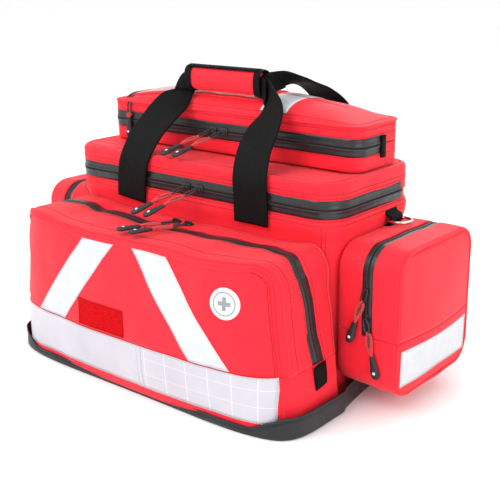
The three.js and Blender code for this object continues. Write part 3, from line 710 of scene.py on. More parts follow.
# Main zip: two coated tapes that meet over a nylon coil, sewn round the front and both sides.
# The coating is smooth and dark grey, and the coil shows as a fine toothed line in the middle.
tape_coating, tree, shader = new_finish("coated_zip_tape", Specular_IOR_Level=0.35, Coat_Roughness=0.3)
marks = marked(tree, 0.018)
ripple = put(tree, "ShaderNodeTexNoise", {"Vector": marks.place, "Scale": 160.0, "Detail": 3.0})
tint(tree, shader, marks.cloud, (0.009, 0.010, 0.011, 1), (0.022, 0.024, 0.026, 1))
vary(tree, shader, "Roughness", marks.speck, 0.22, 0.22)
vary(tree, shader, "Coat Weight", marks.cloud, 0.3)
bump(tree, shader, sums(tree, "MULTIPLY_ADD", marks.cloud, 1.6, ripple.outputs[0]), 0.5, 0.0009)
tooth_plastic = marked_finish("zip_teeth", 0.004, (0.008, 0.008, 0.009, 1), (0.03, 0.03, 0.032, 1), Roughness=0.35)


def tape(name, seam, outs, across, body, half=ZIP_HALF, lift=0.9 * MM, nodes=(), middle=0.35 * MM):
    """One half of a zip: a coated tape from the zip's middle line out to the side that `across` points to."""
    profile = [(middle, 0.2), (middle + 0.5 * MM, 0.9), (1.6 * MM, 1.35), (2.8 * MM, 1.25), (3.9 * MM, 0.7),
               (5.5 * MM, 0.55), (half - 1 * MM, 0.6), (half + 1.6 * MM, 0.35), (half + 1.8 * MM, -0.6),
               (half - 1 * MM, -1.0), (3 * MM, -1.0), (middle, -0.9)]
    rows = []
    for p, out, side in zip(seam, outs, across):
        p, out, side = Vector(p), Vector(out).normalized(), Vector(side).normalized()
        rows.append([tuple(p + side * d + out * (lift * h)) for d, h in profile])
    band = Stock()
    tangent = Vector(seam[1]) - Vector(seam[0])
    handed = tangent.cross(Vector(across[0])).dot(Vector(outs[0])) > 0
    band.add_bar(rows, flip=handed)
    return ride_as(band.finished(name, tape_coating), body, "zip_tape", *nodes)


def teeth_row(name, line, body, width=1.5 * MM):
    """One half of a zip's coil, as a row of short beads beside the middle line."""
    bead_rows(name, [line], tooth_plastic, body, "zip_tape",
              Pitch=1.5 * MM, Length=0.95 * MM, Width=width, Height=1.5 * MM)


def level_zip(name, loop, outs, z, keep, low_body, high_body, nodes):
    """A zip round part of a level plan, with its lower and its upper half on two bodies."""
    wanted = [i for i, p in enumerate(loop) if keep(p)]
    points, ways = loop[wanted], outs[wanted]
    seam = [(x, y, z) for x, y in points]
    normals = [(x, y, 0) for x, y in ways]
    up, down = [(0, 0, 1)] * len(seam), [(0, 0, -1)] * len(seam)
    tape(f"{name}_tape_lower", seam, normals, down, low_body, nodes=nodes[:1])
    tape(f"{name}_tape_upper", seam, normals, up, high_body, nodes=nodes[1:])
    for label, dz, body in (("lower", -0.75, low_body), ("upper", 0.75, high_body)):
        line = [(x, y, z + dz * MM) for x, y in points + ways * 0.75 * MM]
        teeth_row(f"{name}_teeth_{label}", line, body, width=1.3 * MM)


level_zip("main_zip", body_points, body_outs, MAIN_ZIP_Z, lambda p: p[1] < REAR_WALL_Y - MAIN_CORNER,
          "bag", "lid", ("main_zip_lower", "main_zip_upper"))

# Lid: the middle tier, a shallow padded lid hinged by its rear wall. Its top panel is sewn to the
# walls with a soft rounded edge, and sags a little between the top tier and the front edge.
LID_TOP_Z = 266 * MM


def lid_ease(flat, z):
    drape = unsteady(flat, 42 * MM, 9.4, (1, 1, 0.5)) * 1.8 * MM
    rear = np.clip((REAR_WALL_Y - 2 * MM - flat[:, 1]) / (6 * MM), 0, 1)
    return (0.6 * MM + drape) * rear * min(1, (z - 243 * MM) / (6 * MM) if z > 243 * MM else 0)


lid = Stock()
lid_rows = wall_rows(body_points, body_outs, np.linspace(235.5 * MM, 261 * MM, 9), lid_ease)
lid_centre = np.array([0, (FRONT_WALL_Y + REAR_WALL_Y) / 2])
lid_halves = np.array([HALF_BODY, (REAR_WALL_Y - FRONT_WALL_Y) / 2])
for inset, drop in ((0.4, 3.0), (1.6, 1.2), (3.6, 0.2), (6.5, -0.2), (9, 0.5), (14, 0.9), (20, 1.2), (27, 1.6),
                    (35, 2.0), (43, 2.3), (51, 2.4), (59, 2.2), (67, 1.8), (76, 1.6), (84, 1.6), (89, 1.6)):
    squeeze = (lid_halves - inset * MM) / lid_halves
    ring = (body_points - lid_centre) * squeeze + lid_centre
    flat = np.column_stack([ring, np.full(len(ring), LID_TOP_Z)])
    waves = unsteady(flat, 34 * MM, 2.2) * min(inset / 12, 1) * 1.6 * MM
    under = (np.abs(flat[:, 0]) < 206 * MM) & (flat[:, 1] > 30 * MM) & (flat[:, 1] < 128 * MM)
    flat[:, 2] -= drop * MM + np.where(under, np.abs(waves), -waves)
    lid_rows.append(flat)
lid.add_grid(lid_rows, closed=True)
lid.add_cap([len(lid.points) - len(body_points) + k for k in range(len(body_points))])
lid_piece = ride_as(lid.finished("lid_cloth", red_cloth, wall=3 * MM), "lid", "shell_fabric", "lid_shell")
lid_skin = Skin(lid_piece)
lines = [level_line(body_points, z) for z in (248 * MM, 252.5 * MM)]
fold_points = rounded_loop(HALF_BODY - 7 * MM, FRONT_WALL_Y + 7 * MM, REAR_WALL_Y - 7 * MM, 27 * MM)[0]
lines.append(level_line(fold_points, LID_TOP_Z))
sewn_rows("lid_stitches", lid_skin, lines, "lid")

hinge = Stock()
hinge_rows = []
for z in np.linspace(219 * MM, 251 * MM, 13):
    hinge_rows.append([(x, REAR_WALL_Y + (1.1 + 0.5 * math.sin((z - 0.219) * 98)) * MM, z)
                       for x in np.linspace(178 * MM, -178 * MM, 60)])
hinge.add_grid(hinge_rows)
hinge_piece = hinge.finished("lid_hinge_cloth", red_cloth, wall=1 * MM)
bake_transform(hinge_piece)

# Top tier tray: the lower half of the flat top pocket, sewn down on the lid.
# Its zip runs across the front and 51 mm round each corner, and ends in a black tab.
TOP_HALF, TOP_Y0, TOP_Y1, TOP_CORNER = 204.5 * MM, 31.5 * MM, 126.5 * MM, 18 * MM
TOP_ZIP_Z, TOP_EDGE_Z = 295 * MM, 319 * MM
TOP_ZIP_END = TOP_Y0 + 51 * MM
top_points, top_outs = rounded_loop(TOP_HALF, TOP_Y0, TOP_Y1, TOP_CORNER)
top_centre = np.array([0, (TOP_Y0 + TOP_Y1) / 2])


def top_ring(inset):
    half = np.array([TOP_HALF, (TOP_Y1 - TOP_Y0) / 2])
    return (top_points - top_centre) * ((half - inset) / half) + top_centre


def top_ease(flat, z):
    sides = unsteady(flat, 36 * MM, 12.8, (1, 1, 0.6)) * 1.7 * MM
    return sides * min(1, max(0, (286 * MM - z) / (8 * MM)))


top_tray = Stock()
top_floor = [np.column_stack([top_ring(inset), np.full(len(top_points), 267 * MM)])
             for inset in (46 * MM, 30 * MM, 14 * MM, 5 * MM, 0.8 * MM)]
top_walls = wall_rows(top_points, top_outs, np.linspace(268 * MM, 294.4 * MM, 9), top_ease)
top_tray.add_grid(top_floor + top_walls, closed=True)
top_tray.add_cap(list(range(len(top_points)))[::-1])
top_tray_piece = ride_as(top_tray.finished("top_pocket_tray_cloth", red_cloth, wall=CLOTH_WALL),
                         "lid", "shell_fabric", "top_pocket_tray")
level_zip("top_zip", top_points, top_outs, TOP_ZIP_Z, lambda p: p[1] < TOP_ZIP_END,
          "lid", "top_lid", ("top_zip_lower", "top_zip_upper"))
tray_skin = Skin(top_tray_piece)
side_seams = [[(side * TOP_HALF, TOP_ZIP_END + 9 * MM, z) for z in np.linspace(0.27, 0.292, 8)]
              for side in (1, -1)]
sewn_rows("top_tray_stitches", tray_skin, [level_line(top_points, 283 * MM), *side_seams], "lid")

# Top tier cover: a crowned lid of padded cloth with a corded seam round its top edge.
# Light things under it push the middle up, so it stands about 25 mm above the edge.
TOP_CROWN = 25 * MM


def crown_height(x, y):
    """Height of the crowned cover above its edge."""
    across = np.clip(np.abs(x) / TOP_HALF, 0, 1)
    deep = np.clip(np.abs(y - top_centre[1]) / ((TOP_Y1 - TOP_Y0) / 2), 0, 1)
    return TOP_CROWN * (1 - across ** 2.4) ** 0.8 * (1 - deep ** 2.6) ** 0.75


def cover_ease(flat, z):
    return unsteady(flat, 40 * MM, 21.0, (1, 1, 0.6)) * 1.4 * MM * min(1, max(0, (z - 303 * MM) / (6 * MM)))


cover = Stock()
cover_rows = wall_rows(top_points, top_outs, np.linspace(295.6 * MM, 318 * MM, 8), cover_ease)
for inset in (0.7, 2.2, 4, 7, 11, 15, 19, 23, 27, 31, 35, 39, 43, 46):
    ring = top_ring(inset * MM)
    height = TOP_EDGE_Z + crown_height(ring[:, 0], ring[:, 1])
    flat = np.column_stack([ring, height])
    flat[:, 2] += unsteady(flat, 30 * MM, 4.4) * min(inset / 10, 1) * 1.3 * MM
    cover_rows.append(flat)
cover.add_grid(cover_rows, closed=True)
cover.add_cap([len(cover.points) - len(top_points) + k for k in range(len(top_points))])
cover_piece = ride_as(cover.finished("top_pocket_cover_cloth", red_cloth, wall=CLOTH_WALL),
                      "top_lid", "shell_fabric", "top_pocket_lid")
cover_skin = Skin(cover_piece)


def corded_seam(name, lines, skin, body, radius=1.5 * MM, lift=0.5 * MM, closed=True):
    """A thin red cord sewn into a seam, lying on the cloth along the given lines."""
    cord = Stock()
    for line in lines:
        path = skin.along(line, lift) if skin else [Vector(p) for p in line]
        cord.add_tube(path, radius, closed=closed, sides=8)
    return ride_as(cord.finished(name, red_cloth), body, "shell_fabric")


corded_seam("top_cover_corded_seam", [[(x, y, TOP_EDGE_Z) for x, y in top_ring(0.4 * MM)]], cover_skin, "top_lid")
lines = [level_line(top_points, 307 * MM), level_line(top_points, 315 * MM),
         level_line(top_ring(5 * MM), TOP_EDGE_Z + 6 * MM)]
sewn_rows("top_cover_stitches", cover_skin, lines, "top_lid")

webbing_black, tree, shader = new_finish("black_webbing", Specular_IOR_Level=0.12)
uv = sheet_place(tree)
cloth = use(tree, weave, Across=uv.outputs[0], Along=uv.outputs[1], Pitch=1.5 * MM)
rib = sums(tree, "ABSOLUTE", sums(tree, "SINE", sums(tree, "MULTIPLY", uv.outputs[0], math.pi / (2.6 * MM))))
marks = marked(tree, 0.03)
# Painted glints: light flecks where frayed fibres catch the light.
frayed_fibre_glint = put(tree, "ShaderNodeMapRange", {0: marks.speck, 1: 0.60, 2: 0.72, 3: 0.0, 4: 1.0}).outputs[0]
# Painted shade between the ribs and a lighter crest on each rib, with the painted glints on top.
shade = sums(tree, "MULTIPLY_ADD", rib, 0.45, sums(tree, "MULTIPLY", frayed_fibre_glint, 0.5), clamp=True)
tint(tree, shader, shade, (0.002, 0.0022, 0.0023, 1), (0.008, 0.0084, 0.0088, 1))
vary(tree, shader, "Roughness", marks.cloud, 0.2, 0.55)
ribbed = sums(tree, "MULTIPLY_ADD", cloth.outputs["Height"], 0.5, sums(tree, "MULTIPLY", rib, 1.4))
bump(tree, shader, ribbed, 0.6, 0.0004)

tabs = Stock()
for side in (1, -1):
    rows = [[(side * (TOP_HALF + 1.2 * MM) + side * 2.6 * MM * bulge, TOP_ZIP_END + dy * MM, z)
             for dy, bulge in ((-5, 0), (-4, 0.8), (0, 1.0), (4, 0.8), (5, 0), (0, -0.6))]
            for z in np.linspace(279 * MM, 305 * MM, 8)]
    tabs.add_bar(rows, flip=side < 0)
ride_as(tabs.finished("top_zip_end_tabs", webbing_black), "lid", "webbing")

# Window: clear vinyl over a red insert on the top cover, closed by its own short black zip.
# The vinyl is loose, so it lies in soft waves that catch the light, and their crests are also tinted pale as a
# painted highlight.
vinyl, tree, shader = new_finish("window_vinyl", Roughness=0.06, Specular_IOR_Level=0.8, Alpha=0.52)
marks = marked(tree, 0.025)
# Painted highlight: the clear sheet is tinted pale pink to near white where its waves rise.
tint(tree, shader, marks.cloud, (0.62, 0.26, 0.28, 1), (1.0, 0.84, 0.84, 1))
bump(tree, shader, marks.cloud, 0.9, 0.004)
reflective, tree, shader = new_finish("reflective_tape", Sheen_Weight=0.3, Sheen_Roughness=0.3)
uv = sheet_place(tree)
marks = marked(tree, 0.02)
glass_beads = put(tree, "ShaderNodeTexVoronoi", {"Vector": marks.place, "Scale": 1500.0})
tint(tree, shader, marks.cloud, (0.52, 0.55, 0.575, 1), (0.72, 0.745, 0.77, 1))
vary(tree, shader, "Roughness", marks.speck, 0.25, 0.22)
vary(tree, shader, "Metallic", marks.cloud, 0.3)
bump(tree, shader, sums(tree, "MULTIPLY_ADD", marks.cloud, 5.0, glass_beads.outputs[0]), 0.35, 0.0005)


def laid_patch(name, finish, corners, lay, wall=0.7 * MM, cell=4 * MM):
    """A flat trim laid on cloth. `corners` run bottom left, bottom right, top right, top left, and `lay`
    turns a place on the flat trim into a point and the outward way on the cloth."""
    a, b, c, d = [np.array(p, float) for p in corners]
    cols = max(3, round(np.linalg.norm(b - a) / cell))
    rows = max(3, round(np.linalg.norm(d - a) / cell))
    grid = [[tuple(lay(((a * (1 - s) + b * s) * (1 - t) + (d * (1 - s) + c * s) * t)))
             for s in np.linspace(0, 1, cols + 1)] for t in np.linspace(0, 1, rows + 1)]
    patch = Stock()
    patch.add_grid(grid)
    return patch.finished(name, finish, wall=wall)


def on_crown(lift):
    return lambda p: cover_skin.seen_from((p[0], p[1], TOP_EDGE_Z), (0, 0, -1), lift)


corners = ((-0.178, 0.050), (0.046, 0.050), (0.046, 0.110), (-0.178, 0.110))
window = laid_patch("window_vinyl_sheet", vinyl, corners, on_crown(1.5 * MM), wall=0.4 * MM)
ride_as(window, "top_lid", "window_vinyl", "window_panel")
corners = ((0.058, 0.036), (0.098, 0.036), (0.106, 0.122), (0.066, 0.122))
ride_as(laid_patch("top_band_tape", reflective, corners, on_crown(0.9 * MM)), "top_lid", "reflective", "top_band")
border = [(-0.182, 0.046), (0.050, 0.046), (0.050, 0.114), (-0.182, 0.114), (-0.182, 0.046)]
frame_line = []
for a, b in zip(border, border[1:]):
    frame_line += [(a[0] + (b[0] - a[0]) * s, a[1] + (b[1] - a[1]) * s) for s in np.linspace(0, 1, 30)[:-1]]
edge_tape = Stock()
edge_tape.add_tube([on_crown(0.6 * MM)(p) for p in frame_line], 2.2 * MM, closed=True, sides=8, flat=0.5)
ride_as(edge_tape.finished("window_edge_binding", red_cloth), "top_lid", "shell_fabric")
zip_path = [(-0.178 - 0.006 * math.sin(math.pi * s), 0.040 + 0.076 * s) for s in np.linspace(0, 1, 24)]
zip_seam = [on_crown(0.5 * MM)(p) for p in zip_path]
tape("window_zip_tape_left", zip_seam, [(0, 0, 1)] * 24, [(-1, 0, -0.25)] * 24, "top_lid", half=6 * MM)
tape("window_zip_tape_right", zip_seam, [(0, 0, 1)] * 24, [(1, 0, 0.12)] * 24, "top_lid", half=6 * MM)
bead_rows("window_zip_teeth", [[p + Vector((0, 0, 1.5 * MM)) for p in zip_seam]], tooth_plastic,
          "top_lid", "zip_tape", Pitch=1.6 * MM, Length=1.0 * MM, Width=2.6 * MM, Height=2.0 * MM)

# Front pocket: a deep cargo pocket of the same red cloth. Its lower bucket stays on the bag, and the face
# above folds down with the outer half of the gusset. Double corded seams edge the face.
FOLD_Z = 72 * MM
FACE_SHARE = 0.955
BUCKET_BEND_Y = -66 * MM


def evenly(line, count):
    """A line with its points spread evenly along its length."""
    line = np.array(line)
    length = np.concatenate([[0], np.cumsum(np.linalg.norm(np.diff(line, axis=0), axis=1))])
    even = np.linspace(0, length[-1], count)
    return np.column_stack([np.interp(even, length, column) for column in line.T])


def top_sag(x, share):
    """How far the pocket's top edge hangs, most where `share` is 0."""
    return (5.5 * (1 - share) - 1.8 * math.sin(x * 31 + 0.6)) * MM


def arch(inset, bottom, count=150):
    """The pocket's outline from bottom right over the top to bottom left: points and outward ways."""
    top, radius = POCKET_TOP_Z - inset, 24 * MM - min(inset, 10 * MM)
    corner = pocket_half(top) - inset
    path = [(pocket_half(z) - inset, z) for z in np.linspace(bottom, top - radius, 30)]
    path += [(corner - radius + radius * math.cos(a), top - radius + radius * math.sin(a))
             for a in np.linspace(0, math.pi / 2, 12)[1:]]
    path += [(x, top) for x in np.linspace(corner - radius, 0, 30)[1:]]
    path += [(-x, z) for x, z in path[-2::-1]]
    path = evenly(path, count)
    along = np.gradient(path, axis=0)
    outs = np.column_stack([along[:, 1], -along[:, 0]])
    outs /= np.linalg.norm(outs, axis=1, keepdims=True)
    for i, (x, z) in enumerate(path):
        path[i, 1] -= top_sag(x, min(1, (x / 0.2) ** 2)) * np.clip(outs[i, 1], 0, 1)
    return path, outs


def pocket_zip_y(x, z):
    """The zip leans forward up the sides and runs level over the top."""
    side = np.clip((np.abs(x) - 150 * MM) / (58 * MM), 0, 1)
    return -(67 + 20 * side * np.clip((z - 60 * MM) / (130 * MM), 0, 1)) * MM


def roof_drop(x, y):
    """How far the roof of the pocket sinks at a place, most along the zip where nothing holds it up."""
    near_zip = np.exp(-((y - pocket_zip_y(x, 0.198) - 6 * MM) / (26 * MM)) ** 2)
    hollow = 5.5 * np.exp(-((x - 0.035) / 0.075) ** 2) + 5 * np.exp(-((x + 0.131) / 0.014) ** 2)
    return (hollow + 1.5) * near_zip * MM


def gusset_point(x, z, out, y, swell):
    """A point of the gusset, lifted off the outline by its drape and dropped where the roof sinks."""
    lift = 2.2 * MM * noise.noise(Vector((x * 24, y * 24, z * 24 + 3))) + swell
    drop = roof_drop(x, y) * max(0, out[1])
    return (x + out[0] * lift, y, z + out[1] * lift - drop)


def pocket_face_point(x, z):
    broad = 2.3 * MM * noise.noise(Vector((x * 17, z * 13, 6.6)))
    small = 1.1 * MM * noise.noise(Vector((x * 45, z * 30, 1.1)))
    return (x, float(pocket_face_y(x, z)) + (broad + small), z)


def face_grid(z0, top):
    """The face above the fold, with rounded top corners and a hanging top edge."""
    radius, rows = 20 * MM, []
    heights = list(np.linspace(z0, top - radius, 24)) + [top - radius + radius * math.sin(a)
                                                         for a in np.linspace(0, math.pi / 2, 10)[1:]]
    for z in heights:
        half = pocket_half(z) * FACE_SHARE
        if z > top - radius:
            half -= radius - math.sqrt(max(0, radius ** 2 - (z - top + radius) ** 2))
        share = max(0, (z - 0.12) / (top - 0.12)) ** 2
        rows.append([pocket_face_point(half * s, z - top_sag(half * s, (half * s / 0.2) ** 2) * share)
                     for s in np.linspace(-1, 1, 96)])
    return rows


face = Stock()
face_rows = face_grid(FOLD_Z + 0.4 * MM, 192 * MM)
face.add_grid(face_rows)
face_piece = face.finished("front_pocket_face_cloth", red_cloth, wall=CLOTH_WALL)
ride_as(face_piece, "front_panel", "shell_fabric", "front_pocket_panel")
border = evenly([row[-1] for row in face_rows] + face_rows[-1][-2:0:-1]
                + [row[0] for row in face_rows[::-1]], 150)

arch_path, arch_outs = arch(0, FOLD_Z + 0.4 * MM)
gusset = Stock()
columns = []
for (x, z), out, edge in zip(arch_path, arch_outs, border):
    edge = np.array(edge)
    rim = np.array(gusset_point(x, z, out, edge[1] + 13 * MM, 0.6 * MM))
    column = [edge + (rim - edge) * [math.sin(a) ** 0.8, 1 - math.cos(a), math.sin(a) ** 0.8]
              for a in np.linspace(0, math.pi / 2, 6)]
    end = float(pocket_zip_y(x, z)) - 7 * MM
    column += [np.array(gusset_point(x, z, out, y, 0.6 * MM))
               for y in np.linspace(edge[1] + 13 * MM, end, 14)[1:]]
    columns.append(column)
gusset_rows = np.array(columns).transpose(1, 0, 2)
gusset.add_grid(gusset_rows, flip=True)
ride_as(gusset.finished("front_pocket_gusset_cloth", red_cloth, wall=CLOTH_WALL),
        "front_panel", "shell_fabric")

inner = Stock()
columns = []
for (x, z), out in zip(arch_path, arch_outs):
    start = float(pocket_zip_y(x, z)) + 7 * MM
    columns.append([gusset_point(x, z, out, y, -0.4 * MM)
                    for y in np.linspace(start, FRONT_WALL_Y - 0.8 * MM, 10)])
inner_rows = np.array(columns).transpose(1, 0, 2)
inner.add_grid(inner_rows, flip=True)
ride_as(inner.finished("front_pocket_inner_gusset_cloth", red_cloth, wall=CLOTH_WALL),
        "bag", "shell_fabric", "pocket_gusset")

bucket = Stock()
rows = []
for z in np.linspace(3 * MM, FOLD_Z - 0.3 * MM, 22):
    row = [(-pocket_half(z), y, z) for y in np.linspace(FRONT_WALL_Y - 0.8 * MM, BUCKET_BEND_Y, 10)[:-1]]
    for angle in np.linspace(0.02, math.pi - 0.02, 130):
        c, s = math.cos(angle), math.sin(angle)
        x = -pocket_half(z) * squarish(c, 1 / 3)
        tuck = 1 - 0.012 * max(0, 1 - z / (26 * MM))
        row.append((x, FRONT_WALL_Y + (pocket_face_point(x, z)[1] - FRONT_WALL_Y) * tuck, z))
    row = [p for i, p in enumerate(row) if i < 9 or p[1] < BUCKET_BEND_Y]
    row += [(pocket_half(z), y, z) for y in np.linspace(BUCKET_BEND_Y, FRONT_WALL_Y - 0.8 * MM, 10)[1:]]
    rows.append(row)
spread = np.array([evenly(row, 190) for row in rows])
ripples = unsteady(spread, 30 * MM, 14.4, (1, 1, 1.6)) * 1.5 * MM
ripples *= np.clip((FOLD_Z - spread[..., 2]) / (20 * MM), 0, 1)
sideways = np.sign(spread[..., 0]) * (np.abs(spread[..., 0]) > 205 * MM)
spread[..., 0] += sideways * (ripples - 0.4 * MM)
bucket.add_grid(spread)
bucket_piece = bucket.finished("front_pocket_bucket_cloth", red_cloth, wall=CLOTH_WALL)
ride_as(bucket_piece, "bag", "shell_fabric", "pocket_bucket")
face_skin = Skin(face_piece, bucket_piece)

corded_seam("face_corded_seam", [border], None, "front_panel", radius=2.0 * MM, closed=False)
corded_seam("gusset_corded_seam", [gusset_rows[3]], None, "front_panel", radius=1.7 * MM, closed=False)
# Dark red beads set almost end to end just inside the face's corded seam: stitches, and a painted seam shadow beside
# the cord.
face_middle = np.array([0, 0, 0.13])
inside_border = (border - face_middle) * [0.985, 1, 0.975] + face_middle
seam_shadow_stitches = [[Vector(pocket_face_point(p[0], p[2])) - Vector((0, 0.5 * MM, 0)) for p in inside_border]]
bead_rows("face_seam_shadow_stitches", seam_shadow_stitches, red_thread, "front_panel", "shell_fabric", Pitch=2.9 * MM)
for label, side in SIDES:
    foot = [pocket_face_point(side * pocket_half(z) * FACE_SHARE, z)
            for z in np.linspace(5 * MM, FOLD_Z - 0.5 * MM, 20)]
    corded_seam(f"bucket_corded_seam_{label}", [foot], None, "bag", radius=1.7 * MM, closed=False)
for name, sewn, body in (("gusset_stitches", (gusset_rows[7], gusset_rows[17]), "front_panel"),
                         ("inner_gusset_stitches", (inner_rows[2], inner_rows[8]), "bag")):
    lines = [[Vector(p) + Vector((o[0], 0, o[1])) * STITCH_LIFT for p, o in zip(row, arch_outs)]
             for row in sewn]
    bead_rows(name, lines, red_thread, body, "shell_fabric")

# Front pocket zip: a coated zip over the arch of the pocket, so the whole face folds down.
# Each end is tucked into a folded black webbing tab.
seam = [Vector(gusset_point(x, z, out, float(pocket_zip_y(x, z)), -0.2 * MM))
        for (x, z), out in zip(arch_path, arch_outs)]
normals = [(out[0], 0, out[1]) for out in arch_outs]
tape("front_zip_tape_outer", seam, normals, [(0, -1, 0)] * len(seam), "front_panel", nodes=("front_zip_outer",))
tape("front_zip_tape_inner", seam, normals, [(0, 1, 0)] * len(seam), "bag", nodes=("front_zip_inner",))
for label, dy, body in (("outer", -0.8, "front_panel"), ("inner", 0.8, "bag")):
    line = [p + Vector(n) * 0.9 * MM + Vector((0, dy * MM, 0)) for p, n in zip(seam, normals)]
    teeth_row(f"front_zip_teeth_{label}", line, body)
tabs = Stock()
for side in (1, -1):
    x = side * (pocket_half(0.056) + 0.6 * MM)
    rows = []
    for z, tall in zip(np.linspace(42 * MM, 70 * MM, 8), (0.6, 1, 1, 1.1, 1.1, 1.0, 0.9, 0.7)):
        middle = BUCKET_BEND_Y - (z - 56 * MM) * 0.12
        rows.append([(x + side * bulge * 3.2 * MM * tall, middle + dy * MM, z + dy * 0.15 * MM)
                     for dy, bulge in ((-11, 0), (-10, 0.8), (0, 1.0), (10, 0.7), (11, 0), (0, -0.5))])
    tabs.add_bar(rows, flip=side < 0)
ride_as(tabs.finished("front_zip_end_tabs", webbing_black), "bag", "webbing")

# Reflective trim: white prismatic strips sewn on the face as a broad upturned V, and a band along
# the base made of a sheet with small squares pressed into it. All are edged with white stitches.
white_thread = thread_finish("white_thread", (0.75, 0.76, 0.78, 1))
squares, tree, shader = new_finish("prismatic_tape", Coat_Roughness=0.2)
uv = sheet_place(tree)
ribs = []
for channel, pitch in ((0, 32 * MM), (1, 20 * MM)):
    place = sums(tree, "FRACT", sums(tree, "DIVIDE", uv.outputs[channel], pitch))
    edge = sums(tree, "ABSOLUTE", sums(tree, "SUBTRACT", place, 0.5))
    ribs.append(put(tree, "ShaderNodeMapRange", {0: edge, 1: 0.465, 2: 0.485, 3: 0.0, 4: 1.0}).outputs[0])
past_join = sums(tree, "GREATER_THAN", uv.outputs[0], 240 * MM)
line = sums(tree, "MULTIPLY", sums(tree, "MAXIMUM", ribs[0], ribs[1]), past_join)
marks = marked(tree, 0.05)
cells = put(tree, "ShaderNodeTexVoronoi", {"Vector": marks.place, "Scale": 700.0})
plain = blend_colour(tree, marks.cloud, (0.47, 0.455, 0.51, 1), (0.62, 0.61, 0.66, 1))
tint(tree, shader, sums(tree, "MULTIPLY", line, 0.6), plain, (0.76, 0.75, 0.80, 1))
vary(tree, shader, "Roughness", line, 0.25, 0.3)
vary(tree, shader, "Coat Weight", marks.speck, 0.4)
bump(tree, shader, sums(tree, "MULTIPLY_ADD", line, 1.5, cells.outputs[0]), 0.4, 0.0005)


def on_face(lift):
    return lambda p: face_skin.seen_from((p[0], -0.15, p[1]), (0, 1, 0), lift)


def facing(corners, side):
    """The corners in the order that shows the trim's front on the given side."""
    return corners if side > 0 else [corners[1], corners[0], corners[3], corners[2]]


def edge_lines(corners, inset, lay):
    """Lines just inside the edges of a flat trim."""
    middle = np.mean(corners, axis=0)
    inner = [np.array(p) + (middle - p) / np.abs(middle - p).max() * inset for p in corners]
    lines = []
    for a, b in zip(inner, inner[1:] + inner[:1]):
        count = max(4, round(math.dist(a, b) / (6 * MM)))
        lines.append([lay(a + (b - a) * s) for s in np.linspace(0, 1, count)])
    return lines


chevron_lines = []
for name, side in SIDES:
    corners = [(side * x * MM, z * MM) for x, z in ((107, 72.8), (162, 72.8), (69, 186.5), (13, 188.5))]
    corners = facing(corners, side)
    strip = laid_patch(f"chevron_{name}_tape", reflective, corners, on_face(0.8 * MM))
    ride_as(strip, "front_panel", "reflective", f"chevron_{name}")
    chevron_lines += edge_lines(corners, 2.4 * MM, on_face(1.1 * MM))
bead_rows("chevron_stitches", chevron_lines, white_thread, "front_panel", "reflective")
base_corners = ((-0.2125, 0.017), (0.2125, 0.017), (0.2125, 0.0712), (-0.2125, 0.0712))
base_band = laid_patch("base_band_tape", squares, base_corners, on_face(0.9 * MM))
ride_as(base_band, "bag", "reflective", "base_band")
bead_rows("base_band_stitches", edge_lines(base_corners, 2.2 * MM, on_face(1.3 * MM)), white_thread,
          "bag", "reflective")
corners = ((0.024, 0.018), (0.031, 0.018), (0.031, 0.0708), (0.024, 0.0708))
ride_as(laid_patch("base_band_join", squares, corners, on_face(1.5 * MM)), "bag", "reflective")

# Name patch: a rectangle of soft loop pile, the half of a hook fastener that a name tag presses onto.
# It is sewn round its edge, and its loops stand up in a fuzzy red nap.
loop_pile, tree, shader = new_finish("loop_pile", Roughness=0.95, Specular_IOR_Level=0.1)
marks = marked(tree, 0.008)
loops = put(tree, "ShaderNodeTexVoronoi", {"Vector": marks.place, "Scale": 620.0})
# Painted shade between the loops: bright red at the middle of each loop and darker towards its edge, with random
# clouds on top.
shade = sums(tree, "MULTIPLY_ADD", loops.outputs[0], 1.2, sums(tree, "MULTIPLY", marks.cloud, 0.4), clamp=True)
tint(tree, shader, shade, (0.86, 0.006, 0.010, 1), (0.50, 0.001, 0.003, 1))
bump(tree, shader, loops.outputs[0], 0.8, 0.0012)
patch_corners = ((-0.076, 0.0752), (0.004, 0.0752), (0.004, 0.1086), (-0.076, 0.1086))
patch = laid_patch("name_patch_pile", loop_pile, patch_corners, on_face(1.1 * MM), cell=3 * MM)
ride_as(patch, "front_panel", "loop_fabric", "loop_patch")
bead_rows("name_patch_stitches", edge_lines(patch_corners, 1.6 * MM, on_face(1.3 * MM)), red_thread,
          "front_panel", "loop_fabric")

# Badge: a round badge of white moulded rubber with a raised grey ring and a plain cross of first aid
# shape, pressed onto the right side of the pocket's face.
badge_rubber, tree, shader = new_finish("badge_rubber", Specular_IOR_Level=0.45)
marks = marked(tree, 0.01)
BADGE_X, BADGE_Z = 155 * MM, 150 * MM
centred = put(tree, "ShaderNodeVectorMath", {0: marks.place, 1: (BADGE_X, 0.0, BADGE_Z)}, operation="SUBTRACT")
split = put(tree, "ShaderNodeSeparateXYZ", {0: centred.outputs[0]})
squared = sums(tree, "ADD", sums(tree, "MULTIPLY", split.outputs[0], split.outputs[0]),
               sums(tree, "MULTIPLY", split.outputs[2], split.outputs[2]))
from_middle = sums(tree, "SQRT", squared)
ring_mask = sums(tree, "COMPARE", from_middle, 13 * MM, 0.8 * MM)
arms = [sums(tree, "ABSOLUTE", split.outputs[k]) for k in (0, 2)]
wide, slim = sums(tree, "MAXIMUM", *arms), sums(tree, "MINIMUM", *arms)
cross = sums(tree, "MULTIPLY", sums(tree, "LESS_THAN", wide, 7.9 * MM), sums(tree, "LESS_THAN", slim, 2.5 * MM))
printed = sums(tree, "MAXIMUM", ring_mask, cross)
white = blend_colour(tree, marks.cloud, (0.74, 0.75, 0.76, 1), (0.88, 0.89, 0.90, 1))
tint(tree, shader, printed, white, (0.27, 0.28, 0.31, 1))
vary(tree, shader, "Roughness", marks.speck, 0.2, 0.35)
